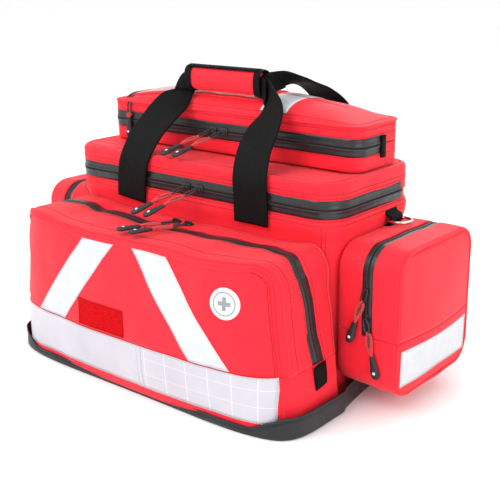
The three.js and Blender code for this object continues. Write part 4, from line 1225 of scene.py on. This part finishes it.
bump(tree, shader, printed, 0.6, 0.0005)
badge = Stock()
rows = []
for radius, rise in ((18, 0.0), (18, 1.2), (17.4, 1.9), (16.4, 2.2), (15.7, 1.8), (14, 1.7), (11, 1.7),
                     (7, 1.7), (4, 1.7), (0.8, 1.7)):
    lay = on_face(rise * MM)
    rows.append([tuple(lay((BADGE_X + radius * MM * math.cos(a), BADGE_Z - radius * MM * math.sin(a))))
                 for a in turns(48)])
badge.add_bar(rows, flip=True)
ride_as(badge.finished("face_badge", badge_rubber), "front_panel", "badge_rubber", "badge")

# Side pockets: two boxes of the red cloth that hang on the side walls, clear of the ground. A coated
# zip runs up the front, over the top and down the rear, and the outer half folds down below a seam.
SIDE_Y0, SIDE_Y1, SIDE_Z0, SIDE_Z1 = -16.5 * MM, 147.5 * MM, 30 * MM, 195 * MM
SIDE_NEAR, SIDE_FAR, SIDE_FOLD_Z, SIDE_ZIP_X = 216 * MM, 298 * MM, 97 * MM, 255 * MM
SIDE_EDGE_X, SIDE_WALL = 292.5 * MM, 2.2 * MM
side_centre = np.array([(SIDE_Y0 + SIDE_Y1) / 2, (SIDE_Z0 + SIDE_Z1) / 2])
side_half_y, side_half_z = (SIDE_Y1 - SIDE_Y0) / 2, (SIDE_Z1 - SIDE_Z0) / 2
side_loop, side_outs = rounded_loop(side_half_y, -side_half_z, side_half_z, 27 * MM, step=3.4 * MM)
side_loop = side_loop + side_centre


def side_face_x(y, z):
    """The outer panel: filled out in the middle, pulled back towards its corded edge."""
    a = np.clip(np.abs(y - side_centre[0]) / side_half_y, 0, 1)
    b = np.clip(np.abs(z - side_centre[1]) / side_half_z, 0, 1)
    return 293.5 * MM + 7 * MM * (1 - a ** 2.2) * (1 - b ** 2.2)


def side_point(loop_point, out, x, mirror):
    """A point of a side pocket's skin, filled out in the middle and hanging a little at the bottom."""
    y, z = loop_point
    filled = math.sin(math.pi * np.clip((x - SIDE_NEAR) / (SIDE_FAR - SIDE_NEAR), 0, 1))
    uneven = 1.9 * noise.noise(Vector((x * 26 + mirror, y * 24, z * 24)))
    swell = (2.4 * filled + uneven) * MM * min(1, (x - SIDE_NEAR) / (8 * MM))
    droop = 4 * MM * (x - SIDE_NEAR) / (SIDE_FAR - SIDE_NEAR) * (1 if out[1] < 0.3 else 0.35)
    return (x, y + out[0] * swell, z + out[1] * swell - droop * max(0, 1 - (z - SIDE_Z0) / (150 * MM)))


def side_spots(keep, reach=0.4 * MM):
    """Places and outward ways round the block, in order, carried on to `reach` from the fold at both ends."""
    wanted = [i for i, p in enumerate(side_loop) if keep(p)]
    breaks = [k for k in range(1, len(wanted)) if wanted[k] != wanted[k - 1] + 1]
    if breaks:
        wanted = wanted[breaks[0]:] + wanted[:breaks[0]]
    spots = [(*side_loop[i], *side_outs[i]) for i in wanted]
    if len(wanted) < len(side_loop):
        near = SIDE_FOLD_Z + math.copysign(1, spots[0][1] - SIDE_FOLD_Z) * reach
        spots = [(spots[0][0], near, *spots[0][2:]), *spots, (spots[-1][0], near, *spots[-1][2:])]
    return spots


def side_skin_grid(keep, x0, x1, cols, mirror, side, reach=0.4 * MM):
    grid = np.array([[side_point(spot[:2], spot[2:], x, mirror) for x in np.linspace(x0, x1, cols)]
                     for spot in side_spots(keep, reach)])
    grid[..., 0] *= side
    return grid


def side_panel_grid(z0, z1, mirror, side):
    """The flat outer panel of a side pocket between two heights."""
    rows, radius = [], 25 * MM
    for z in np.linspace(z0, z1, max(6, round((z1 - z0) / (4 * MM)))):
        over = max(0, z - (SIDE_Z1 - radius), (SIDE_Z0 + radius) - z)
        half = (SIDE_Y1 - SIDE_Y0) / 2 - 1.5 * MM - (radius - math.sqrt(max(0, radius ** 2 - over ** 2)))
        row = []
        for s in np.linspace(-1, 1, 40):
            y = side_centre[0] + half * s
            wave = 1.5 * MM * noise.noise(Vector((y * 20 + mirror, z * 20, 4.2))) * (1 - s * s)
            droop = 4 * MM * max(0, 1 - (z - SIDE_Z0) / (150 * MM))
            row.append((side * (side_face_x(y, z) + wave), y, z - droop))
        rows.append(row)
    return rows


for label, side in SIDES:
    mirror = 0 if side > 0 else 17
    everywhere = lambda p: True
    low = lambda p: p[1] < SIDE_FOLD_Z - 0.5 * MM
    high = lambda p: p[1] > SIDE_FOLD_Z + 0.5 * MM
    fixed = Stock()
    upper = side_skin_grid(high, SIDE_NEAR, SIDE_ZIP_X - 7 * MM, 12, mirror, side, reach=-1.2 * MM)
    fixed.add_grid(upper, flip=side < 0)
    fixed.add_grid(side_skin_grid(low, SIDE_NEAR, SIDE_EDGE_X, 22, mirror, side), flip=side < 0)
    fixed.add_grid(side_panel_grid(SIDE_Z0 + 1.5 * MM, SIDE_FOLD_Z - 0.5 * MM, mirror, side), flip=side < 0)
    back = np.array(side_panel_grid(SIDE_Z0 + 1.5 * MM, SIDE_Z1 - 1.5 * MM, mirror, side))
    back[..., 0] = side * (SIDE_NEAR + 0.4 * MM)
    fixed.add_grid(back, flip=side > 0)
    fixed_piece = ride_as(fixed.finished(f"{label}_pocket_bucket_cloth", red_cloth, wall=SIDE_WALL),
                          "bag", "shell_fabric", f"{label}_pocket_bucket")
    flap = Stock()
    flap.add_grid(side_skin_grid(high, SIDE_ZIP_X + 7 * MM, SIDE_EDGE_X, 12, mirror, side), flip=side < 0)
    flap.add_grid(side_panel_grid(SIDE_FOLD_Z + 0.5 * MM, SIDE_Z1 - 1.5 * MM, mirror, side), flip=side < 0)
    flap_piece = ride_as(flap.finished(f"{label}_pocket_flap_cloth", red_cloth, wall=SIDE_WALL),
                         f"{label}_flap", "shell_fabric", f"{label}_pocket_flap")
    for body, keep, name in (("bag", low, "bucket"), (f"{label}_flap", high, "flap")):
        edge = side_skin_grid(keep, SIDE_EDGE_X, 293.2 * MM, 2, mirror, side)[:, 1]
        corded_seam(f"{label}_{name}_corded_seam", [edge], None, body, radius=1.8 * MM, closed=False)
    rim = side_skin_grid(everywhere, SIDE_NEAR + 1 * MM, SIDE_NEAR + 2 * MM, 2, mirror, side)[:, 1]
    corded_seam(f"{label}_back_corded_seam", [rim], None, "bag", radius=1.5 * MM)
    fixed_skin, flap_skin = Skin(fixed_piece), Skin(flap_piece)
    zip_grid = side_skin_grid(high, SIDE_ZIP_X, SIDE_ZIP_X + 1 * MM, 2, mirror, side)[:, 0]
    outs = [(0, out_y, out_z) for *_, out_y, out_z in side_spots(high)]
    zip_line = [Vector(p) for p in zip_grid]
    tape(f"{label}_zip_tape_inner", zip_line, outs, [(-side, 0, 0)] * len(zip_line), "bag", half=11 * MM)
    tape(f"{label}_zip_tape_outer", zip_line, outs, [(side, 0, 0)] * len(zip_line), f"{label}_flap", half=11 * MM)
    for name, dx, body in (("inner", -0.8, "bag"), ("outer", 0.8, f"{label}_flap")):
        line = [p + Vector(o) * 0.9 * MM + Vector((side * dx * MM, 0, 0)) for p, o in zip(zip_line, outs)]
        teeth_row(f"{label}_zip_teeth_{name}", line, body)
    lines = [side_skin_grid(keep, x, x + 1 * MM, 2, mirror, side)[:, 0]
             for keep, x in ((high, SIDE_ZIP_X - 12 * MM), (everywhere, SIDE_NEAR + 7 * MM), (low, 287 * MM))]
    sewn_rows(f"{label}_bucket_stitches", fixed_skin, lines, "bag")
    lines = [side_skin_grid(high, x, x + 1 * MM, 2, mirror, side)[:, 0]
             for x in (SIDE_ZIP_X + 12 * MM, 287 * MM)]
    sewn_rows(f"{label}_flap_stitches", flap_skin, lines, f"{label}_flap")
    on_side = lambda p, lift=0.8 * MM: fixed_skin.seen_from((side * 0.29, p[0], p[1]), (-side, 0, 0), lift)
    corners = [(-0.0105, 0.040), (0.1415, 0.040), (0.1415, 0.084), (-0.0105, 0.084)]
    corners = facing(corners, side)
    strip = laid_patch(f"{label}_pocket_band_tape", reflective, corners, on_side)
    ride_as(strip, "bag", "reflective", f"{label}_pocket_band")
    lines = edge_lines(corners, 2.2 * MM, lambda p: on_side(p, 1.1 * MM))
    bead_rows(f"{label}_pocket_band_stitches", lines, white_thread, "bag", "reflective")

# Rings: a nickel plated D of round wire on each side above the pocket, free to swing in a loop of
# black webbing sewn flat on the wall.
nickel = marked_finish("nickel_plate", 0.006, (0.50, 0.49, 0.47, 1), (0.82, 0.81, 0.79, 1),
                       rough=(0.25, 0.12), grain=(0.15, 0.0002), Metallic=1.0)
for label, side in SIDES:
    low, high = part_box(f"{label}_d_ring")
    middle, half, tall = (low + high) / 2, (high - low) / 2, (high.z - low.z) / 2
    bar = low.x + tall if side > 0 else high.x - tall
    tip = high.x - tall if side > 0 else low.x + tall
    radius = half.y - tall
    arc = [(tip - side * radius + side * radius * math.cos(a), middle.y + radius * math.sin(a), middle.z)
           for a in np.linspace(-math.pi / 2, math.pi / 2, 20)]
    path = [(bar, middle.y - radius, middle.z), *arc, (bar, middle.y + radius, middle.z)]
    path += [(bar, middle.y + radius * s, middle.z) for s in (0.6, 0.2, -0.2, -0.6)]
    ring = Stock()
    ring.add_tube(path, tall, closed=True, sides=12)
    ride_as(ring.finished(f"{label}_ring_wire", nickel), f"{label}_ring", "ring_metal", f"{label}_d_ring")
    low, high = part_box(f"{label}_ring_tab")
    near = 215.8 * MM
    wrap = [(near + out * MM, up) for out, up in ((0, -7.5), (2, -7), (6, -6), (9.4, -2), (9.6, 2), (7.5, 6),
                                                  (3.5, 7.5), (1.2, 9), (0.4, 12))]
    loop = Stock()
    rows = [[(side * x, y, up * MM + (low.z + high.z) / 2 - 3 * MM) for x, up in wrap]
            for y in np.linspace(low.y - 3 * MM, high.y + 3 * MM, 8)]
    loop.add_grid(rows, flip=side > 0)
    ride_as(loop.finished(f"{label}_ring_webbing", webbing_black, wall=1.8 * MM), "bag", "webbing",
            f"{label}_ring_tab")

# Carry handles: four ends of 50 mm webbing sewn to the front and rear walls. Each pair runs up, folds
# in half along its length and passes through the grip, so both handles are carried as one.
def smooth_path(stations, count):
    """Points along a smooth line through the stations, with their other values carried along."""
    stations = np.array(stations, float)
    padded = np.vstack([2 * stations[0] - stations[1], stations, 2 * stations[-1] - stations[-2]])
    out = []
    for value in np.linspace(0, len(stations) - 1.0001, count):
        i, t = int(value), value - int(value)
        p0, p1, p2, p3 = padded[i:i + 4]
        out.append(0.5 * (2 * p1 + (p2 - p0) * t + (2 * p0 - 5 * p1 + 4 * p2 - p3) * t * t
                          + (3 * p1 - p0 - 3 * p2 + p3) * t ** 3))
    return np.array(out)


def webbing_strap(name, stations, finish, body, slot, width, nodes=(), thickness=2 * MM, count=70):
    """Flat webbing. Each station is a place (3), the way across (3), and how far it is folded in half (1)."""
    path = smooth_path(stations, count)
    places, ways, folds = path[:, :3], path[:, 3:6], np.clip(path[:, 6], 0, 1)
    strap = Stock()
    rows = []
    for i in range(count):
        along = Vector(places[min(i + 1, count - 1)] - places[max(i - 1, 0)]).normalized()
        across = Vector(ways[i])
        across = (across - along * across.dot(along)).normalized()
        out = along.cross(across)
        row = []
        for w in np.linspace(-1, 1, 15):
            d = w * width / 2
            folded = (abs(d) - width / 4)
            shift = d * (1 - folds[i]) + folded * folds[i]
            apart = math.copysign(1, w) * min(1, abs(w) * 5) * 1.7 * MM + 0.6 * MM
            rise = apart * folds[i] + 0.7 * MM * (1 - w * w) * (1 - folds[i])
            row.append(tuple(Vector(places[i]) + across * shift + out * rise))
        rows.append(row)
    strap.add_grid(rows)
    piece = strap.finished(name, finish, wall=thickness)
    return ride_as(piece, body, slot, *nodes)


front_rows = {
    "left": [(-101, -37.5, 205, 1, 0, 0, 0), (-98, -38.2, 235, 1, 0, 0, 0), (-92, -37, 262, 1, 0, 0, 0),
             (-84, -24, 290, 1, 0.1, 0, 0), (-77, -2, 314, 1, 0.12, -0.1, 0),
             (-72, 17, 331, 1, 0.2, -0.3, 0.15), (-66, 30, 345, 0.7, 0.3, -0.8, 0.7),
             (-59, 37, 354, 0.2, 0, -1, 1), (-48, 38, 357, 0, 0, -1, 1)],
    "right": [(101, -37.5, 205, 1, 0, 0, 0), (101, -38.4, 235, 1, 0, 0, 0), (100, -38, 262, 1, 0, 0, 0),
              (97, -26, 290, 1, -0.05, 0, 0), (92, -2, 314, 1, -0.08, 0.1, 0),
              (84, 17, 330, 1, -0.2, 0.3, 0.15), (72, 31, 345, 0.7, -0.3, 0.8, 0.7),
              (61, 37, 354, 0.2, 0, 1, 1), (50, 38, 357, 0, 0, 1, 1)],
}
rear_half = [(-101, 152.8, 206, 1, 0, 0, 0), (-101, 155, 250, 1, 0, 0, 0), (-99, 153, 285, 1, 0, 0, 0),
             (-94, 142, 320, 1, -0.1, 0, 0), (-87, 113, 347, 1, -0.1, 0.1, 0), (-80, 82, 357, 1, -0.3, -0.1, 0.2),
             (-72, 62, 358, 0.7, -0.4, -0.7, 0.7), (-62, 49, 359, 0.2, 0, -1, 1), (-50, 45, 359, 0, 0, -1, 1)]
rear_rows = {"left": rear_half, "right": [(-x, y, z, a, -b, -c, f) for x, y, z, a, b, c, f in rear_half]}
for name, rows, body in (("front", front_rows, "front_carry"), ("rear", rear_rows, "rear_carry")):
    for label, stations in rows.items():
        nodes = (f"{name}_handle",) if label == "left" else ()
        stations = [[x * MM, y * MM, z * MM, *rest] for x, y, z, *rest in stations]
        webbing_strap(f"{name}_handle_{label}", stations, webbing_black, body, "webbing", 50 * MM, nodes=nodes)

# Grip: a padded red sleeve closed round the folded webbing with hook tape, its top edge and both ends
# bound in black. The foam rounds it between the bindings.
grip_low, grip_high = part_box("grip_wrap")
grip_middle = (grip_low + grip_high) / 2
grip = Stock()
rows = []
for x in np.linspace(grip_low.x + 2 * MM, grip_high.x - 2 * MM, 30):
    end = min(1, (min(x - grip_low.x, grip_high.x - x)) / (9 * MM))
    tall, deep = (14.0 + 1.2 * end) * MM, (9.0 + 1.2 * end) * MM
    rows.append([(x, grip_middle.y + deep * squarish(math.cos(a), 0.7),
                  grip_middle.z + 1.5 * MM + tall * squarish(math.sin(a), 0.7))
                 for a in turns(32)])
grip.add_bar(rows, flip=True)
grip_piece = swollen(grip.finished("grip_sleeve", red_padding), 3 * MM, pressure=3.0, voxel=4 * MM)
ride_as(grip_piece, "front_carry", "shell_fabric", "grip_wrap")
binding = Stock()
for x in (grip_low.x + 1 * MM, grip_high.x - 1 * MM):
    path = [(x, grip_middle.y + 11.6 * MM * squarish(math.cos(a), 0.7),
             grip_middle.z + 1.5 * MM + 16.6 * MM * squarish(math.sin(a), 0.7)) for a in turns(40)]
    rows = [[(px + dx * MM, (py - grip_middle.y) * g + grip_middle.y, (pz - grip_middle.z) * g + grip_middle.z)
             for px, py, pz in path]
            for dx, g in ((-5, 0.93), (-5, 1.0), (-2, 1.04), (2, 1.04), (5, 1.0), (5, 0.93))]
    binding.add_grid(rows, closed=True, close_rows=True, flip=True)
top_edge = [(x, grip_middle.y - 3 * MM, grip_high.z + 1.8 * MM)
            for x in np.linspace(grip_low.x + 1 * MM, grip_high.x - 1 * MM, 24)]
binding.add_tube(top_edge, 6 * MM, flat=0.36, sides=12)
ride_as(binding.finished("grip_binding", webbing_black), "front_carry", "webbing")

# Harness: a padded back panel covered in black mesh, with two curved shoulder straps sewn to its top
# and webbing tails sewn low on each side, so the bag can be worn on the back.
spacer_mesh, tree, shader = new_finish("spacer_mesh", Sheen_Weight=0.2, Specular_IOR_Level=0.25)
marks = marked(tree, 0.03)
holes = put(tree, "ShaderNodeTexVoronoi", {"Vector": marks.place, "Scale": 330.0, "Randomness": 0.15})
# Painted shade in the mesh: darker where the cell pattern sinks, with random clouds on top.
shade = sums(tree, "MULTIPLY_ADD", holes.outputs[0], 0.9, sums(tree, "MULTIPLY", marks.cloud, 0.3), clamp=True)
tint(tree, shader, shade, (0.026, 0.027, 0.029, 1), (0.005, 0.005, 0.006, 1))
vary(tree, shader, "Roughness", marks.speck, 0.2, 0.6)
bump(tree, shader, sums(tree, "MULTIPLY", holes.outputs[0], -1.0), 0.7, 0.0012)


def press_channels(piece, lines, axis, sink, reach, outward):
    """Presses sewn channels into a pad: each line is a coordinate and its value along the pad."""
    for v in piece.data.vertices:
        depth = max(math.exp(-((v.co[k] - at) / reach) ** 2) for k, at in lines)
        if (v.co[axis] - outward[0]) * outward[1] > 0:
            v.co[axis] -= outward[1] * sink * depth


low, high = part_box("back_pad")
margin = Vector((2 * MM, 1.5 * MM, 2 * MM))
pad = slab(1, low + margin, high - margin, 24 * MM).finished("back_pad_mesh", spacer_mesh)
swollen(pad, 3 * MM, pressure=3.0, voxel=5 * MM)
channels = [(0, -50 * MM), (0, 50 * MM), (2, (low.z + high.z) / 2)]
press_channels(pad, channels, 1, 4 * MM, 6 * MM, ((low.y + high.y) / 2, 1))
ride_as(pad, "bag", "pad_fabric", "back_pad")
edge = rounded_loop((high.x - low.x) / 2 - 1.5 * MM, low.z + 1.5 * MM, high.z - 1.5 * MM, 24 * MM, step=6 * MM)[0]
piping = Stock()
piping.add_tube([(x, (low.y + high.y) / 2 + 1 * MM, z) for x, z in edge], 3.4 * MM, closed=True, sides=8)
ride_as(piping.finished("back_pad_binding", webbing_black), "bag", "webbing")
back_lines = [[(x * MM, 0.2, z * MM) for z in np.linspace(44, 186, 40)] for x in (-54, -46, 46, 54)]
pad_skin = Skin(pad)
back_lines = [[pad_skin.seen_from(p, (0, -1, 0), 0.4 * MM) for p in line] for line in back_lines]
bead_rows("back_pad_stitches", back_lines, black_thread, "bag", "pad_fabric")
for label, side in SIDES:
    low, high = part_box(f"shoulder_strap_{label}")
    route = smooth_path([(side * x * MM, y * MM, z * MM, w) for x, y, z, w in
                         ((60, 171.5, 187, 60), (64, 184, 160, 60), (74, 191, 120, 58), (90, 186, 86, 54),
                          (99, 177, 66, 44))], 26)
    strap = Stock()
    rows = []
    for i, (x, y, z, w) in enumerate(route):
        along = Vector(route[min(i + 1, 25)][:3] - route[max(i - 1, 0)][:3]).normalized()
        across = Vector((1, 0, 0)) - along * along.x
        across.normalize()
        out = along.cross(across)
        rows.append([tuple(Vector((x, y, z)) + across * (w / 2 - 2) * MM * squarish(math.cos(a), 0.5)
                           + out * 4.6 * MM * squarish(math.sin(a), 0.6))
                     for a in turns(28)])
    strap.add_bar(rows)
    piece = swollen(strap.finished(f"shoulder_strap_{label}_pad", spacer_mesh), 1.6 * MM, pressure=2.0,
                    voxel=4 * MM)
    ride_as(piece, "bag", "pad_fabric", f"shoulder_strap_{label}")
    runner = [[x, y + 7.6 * MM, z, 1, 0, 0, 0] for x, y, z, w in route[2:-1]]
    webbing_strap(f"shoulder_runner_{label}", runner, webbing_black, "bag", "webbing", 25 * MM,
                  thickness=1.4 * MM, count=40)
    tail = [(side * x * MM, y * MM, z * MM, 0.9, 0, side * 0.4, 0) for x, y, z in
            ((96, 176, 74), (104, 172.6, 52), (118, 170.8, 40), (132, 170.6, 31))]
    webbing_strap(f"harness_tail_{label}", tail, webbing_black, "bag", "webbing", 25 * MM,
                  nodes=(f"lower_strap_{label}",), thickness=1.8 * MM, count=30)

# Sliders: die cast zip sliders with a bridge on top, plated black. Two run on each of the large zips,
# and a wire loop through the bridge carries the pull.
slider_plate = marked_finish("slider_plate", 0.004, (0.012, 0.012, 0.013, 1), (0.07, 0.07, 0.073, 1),
                             rough=(0.2, 0.2), grain=(0.15, 0.0003), Metallic=0.6)
pull_rubber = marked_finish("pull_tab_plastic", 0.007, (0.010, 0.012, 0.015, 1), (0.026, 0.030, 0.036, 1),
                            rough=(0.2, 0.3), grain=(0.3, 0.0003), Specular_IOR_Level=0.35)
dot_white = marked_finish("pull_dot", 0.003, (0.62, 0.63, 0.64, 1), (0.86, 0.87, 0.88, 1), Roughness=0.4)


def cord_finish(name, base, fleck, share):
    finish, tree, shader = new_finish(name, Roughness=0.6, Sheen_Weight=0.3)
    uv = sheet_place(tree)
    braid = []
    for turn in (1.0, -1.0):
        lean = sums(tree, "MULTIPLY_ADD", uv.outputs[0], turn * 2 * math.pi / (2.2 * MM),
                    sums(tree, "MULTIPLY", uv.outputs[1], 2 * math.pi / (3.2 * MM)))
        braid.append(sums(tree, "SINE", lean))
    height = sums(tree, "MAXIMUM", *braid)
    dark = put(tree, "ShaderNodeMapRange", {0: braid[0], 1: share, 2: share + 0.2, 3: 0.0, 4: 1.0}).outputs[0]
    tint(tree, shader, dark, base, fleck)
    bump(tree, shader, height, 0.7, 0.0004)
    return finish


red_cord = cord_finish("red_pull_cord", (0.74, 0.012, 0.02, 1), (0.30, 0.004, 0.008, 1), 0.4)
black_cord = cord_finish("black_pull_cord", (0.012, 0.012, 0.013, 1), (0.05, 0.05, 0.052, 1), 0.7)


def add_slider(stock, turn, place):
    """A slider lying along X with its pull side facing -Y before it is turned and placed."""
    spin = turn.to_3x3()
    for centre, halves, power in (((0, -1.3, 0), (6.5, 1.2, 5), 0.35), ((-2.5, -1.3, 0), (4.5, 1.5, 5.4), 0.4),
                                  ((0, -4.6, 0), (4.6, 0.9, 1.5), 0.4), ((-4.2, -3.2, 0), (1, 1.9, 1.4), 0.4),
                                  ((4.2, -3.2, 0), (1, 1.9, 1.4), 0.4)):
        at = place + spin @ (Vector(centre) * MM)
        stock.add_pebble(at, [h * MM for h in halves], finish=0, power=power, turn=spin, steps=(16, 8))


def add_pull(stock, matrix, cord_length):
    """A wire loop, a cord loop with its knot and a moulded tab, hanging along -Z from the pivot.
    The finishes are in the order of PULL_FINISHES."""
    wire, red, black, tab, dot = range(5)
    at = lambda x, y, z: tuple(matrix @ Vector((x * MM, y * MM, z * MM)))
    loop = [at(3.1 * squarish(math.sin(a), 0.6), 0, -7.2 + 8.6 * math.cos(a))
            for a in turns(24)]
    stock.add_tube(loop, 1.0 * MM, wire, sides=6, closed=True)
    end = -16 - cord_length
    count = 22
    for finish, spread, lean in ((red, 3.3, 0.0), (red, -3.3, 0.5), (black, 1.3, 1.0)):
        path = []
        for k in range(count):
            s = k / (count - 1)
            wide = spread * math.sin(math.pi * min(1, s * 1.05)) ** 0.7 * (1.15 - 0.7 * s)
            out = 1.1 * math.cos(math.pi * s + lean) * (1 - 0.6 * s) - 0.3
            path.append(at(wide + 0.5 * math.sin(7 * s + lean), out, -14.4 + (end + 14.4) * s))
        stock.add_tube(path, (1.7 if finish == red else 1.0) * MM, finish, sides=8)
    knot = end + 7 if cord_length > 10 else end + 1.5
    stock.add_pebble(at(0, 0, knot), (2.8 * MM, 2.5 * MM, 3.0 * MM), red, power=0.9, steps=(10, 7))
    rings = []
    for z, w, t in ((1.5, 1.8, 1.5), (0, 2.9, 2.0), (-3, 3.3, 2.2), (-9, 4.0, 2.4), (-15, 4.9, 2.6),
                    (-20, 5.5, 2.7), (-24, 5.2, 2.5), (-26.6, 3.9, 2.0), (-28, 2.0, 1.2)):
        rings.append([at(w * squarish(math.cos(a), 0.8), t * math.sin(a), end + z)
                      for a in turns(16)])
    stock.add_bar(rings, tab, flip=True)
    spin = matrix.to_3x3().normalized()
    for face_side in (-1, 1):
        stock.add_pebble(at(0, face_side * 2.4, end - 20), (2.1 * MM, 0.5 * MM, 2.1 * MM), dot, power=1.0,
                         turn=spin, steps=(14, 6))


def hung(place, tilt, slant):
    """The pivot's place and way for a pull, with angles in degrees about X and then about Y."""
    turned = Matrix.Rotation(math.radians(tilt), 4, "X") @ Matrix.Rotation(math.radians(slant), 4, "Y")
    return Matrix.Translation(place) @ turned


PULL_FINISHES = (slider_plate, red_cord, black_cord, pull_rubber, dot_white)
# Cord lengths from the wire to the tab in millimetres, and how far a wire stands out from its slider.
LONG_CORD, SHORT_CORD = 26, 4
WIRE_OUT, WIRE_OUT_LOW = 9.3 * MM, 7.5 * MM
rows = []
for zip_name, xs, y, z, tilt, slant in (("main", (-4, 17), FRONT_WALL_Y - 0.5 * MM, MAIN_ZIP_Z, -64, 30),
                                        ("top", (-16, 3), TOP_Y0 - 0.5 * MM, TOP_ZIP_Z, -70, 20)):
    for label, x in zip(("left", "right"), xs):
        rows.append((zip_name, label, Vector((x * MM, y, z)), Matrix.Identity(4),
                     hung((x * MM, y - WIRE_OUT, z), tilt, slant)))
for label, x in (("left", 10), ("right", 30)):
    y = -68.5 * MM
    rows.append(("front", label, Vector((x * MM, y, POCKET_TOP_Z + 0.5 * MM)),
                 Matrix.Rotation(math.radians(-90), 4, "X"),
                 hung((x * MM, y - WIRE_OUT_LOW, POCKET_TOP_Z + 3.1 * MM), -90, 24)))
for zip_name, label, at_place, turn, pull_matrix in rows:
    body = Stock()
    add_slider(body, turn, at_place)
    ride_as(body.finished(f"{zip_name}_slider_{label}_cast", slider_plate), f"{zip_name}_runner_{label}",
            "slider_metal", f"{zip_name}_slider_{label}")
    hanging = Stock()
    add_pull(hanging, pull_matrix, LONG_CORD)
    ride_as(hanging.finished(f"{zip_name}_pull_{label}_set", *PULL_FINISHES), f"{zip_name}_tag_{label}",
            "pull_plastic", f"{zip_name}_pull_{label}")
for label, side in SIDES:
    for level, z, slant in (("upper", 152, 18), ("lower", 117, -14)):
        both = Stock()
        at_place = Vector((side * SIDE_ZIP_X, SIDE_Y0 - 0.5 * MM, z * MM))
        add_slider(both, Matrix.Rotation(math.radians(90), 4, "Y"), at_place)
        add_pull(both, hung(at_place - Vector((0, WIRE_OUT_LOW, 0)), 0, side * slant), LONG_CORD)
        ride_as(both.finished(f"{label}_zip_pull_{level}_set", *PULL_FINISHES), f"{label}_runner_{level}",
                "pull_plastic", f"{label}_zip_pull_{level}")
low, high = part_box("window_pull")
small = Stock()
add_pull(small, hung((-166 * MM, (low.y + high.y) / 2, high.z), 0, 4), SHORT_CORD)
ride_as(small.finished("window_pull_set", *PULL_FINISHES), "window_tag", "pull_plastic", "window_pull")

# Studio: a pale flat floor under a white world, a large soft key light, a fill and a rim light.
world = bpy.data.worlds.new("studio")
scene.world = world
world.use_nodes = True
world.node_tree.nodes["Background"].inputs[0].default_value = (1, 1, 1, 1)
world.node_tree.nodes["Background"].inputs[1].default_value = 1.0
scene.view_settings.view_transform = "Standard"
for name, kind_size, at, power in (("key", 1.6, (-0.6, -1.8, 2.2), 36), ("fill", 1.4, (2.2, -0.7, 0.9), 17),
                                   ("rim", 1.2, (-0.4, 1.9, 1.8), 16)):
    lamp = bpy.data.lights.new(name, "AREA")
    lamp.energy, lamp.size = power, kind_size
    lamp_object = bpy.data.objects.new(name, lamp)
    scene.collection.objects.link(lamp_object)
    aim = (-Vector(at)).to_track_quat("-Z", "Y").to_matrix().to_4x4()
    lamp_object.matrix_world = Matrix.Translation(at) @ aim
floor_stock = Stock()
floor_stock.add_grid([[(x, y, -0.3 * MM) for x in (-30, 30)] for y in (-30, 30)])
floor_finish, tree, shader = new_finish("studio_floor", Base_Color=(0.99, 0.99, 0.99, 1), Roughness=0.9)
floor = floor_stock.finished("studio_floor", floor_finish)
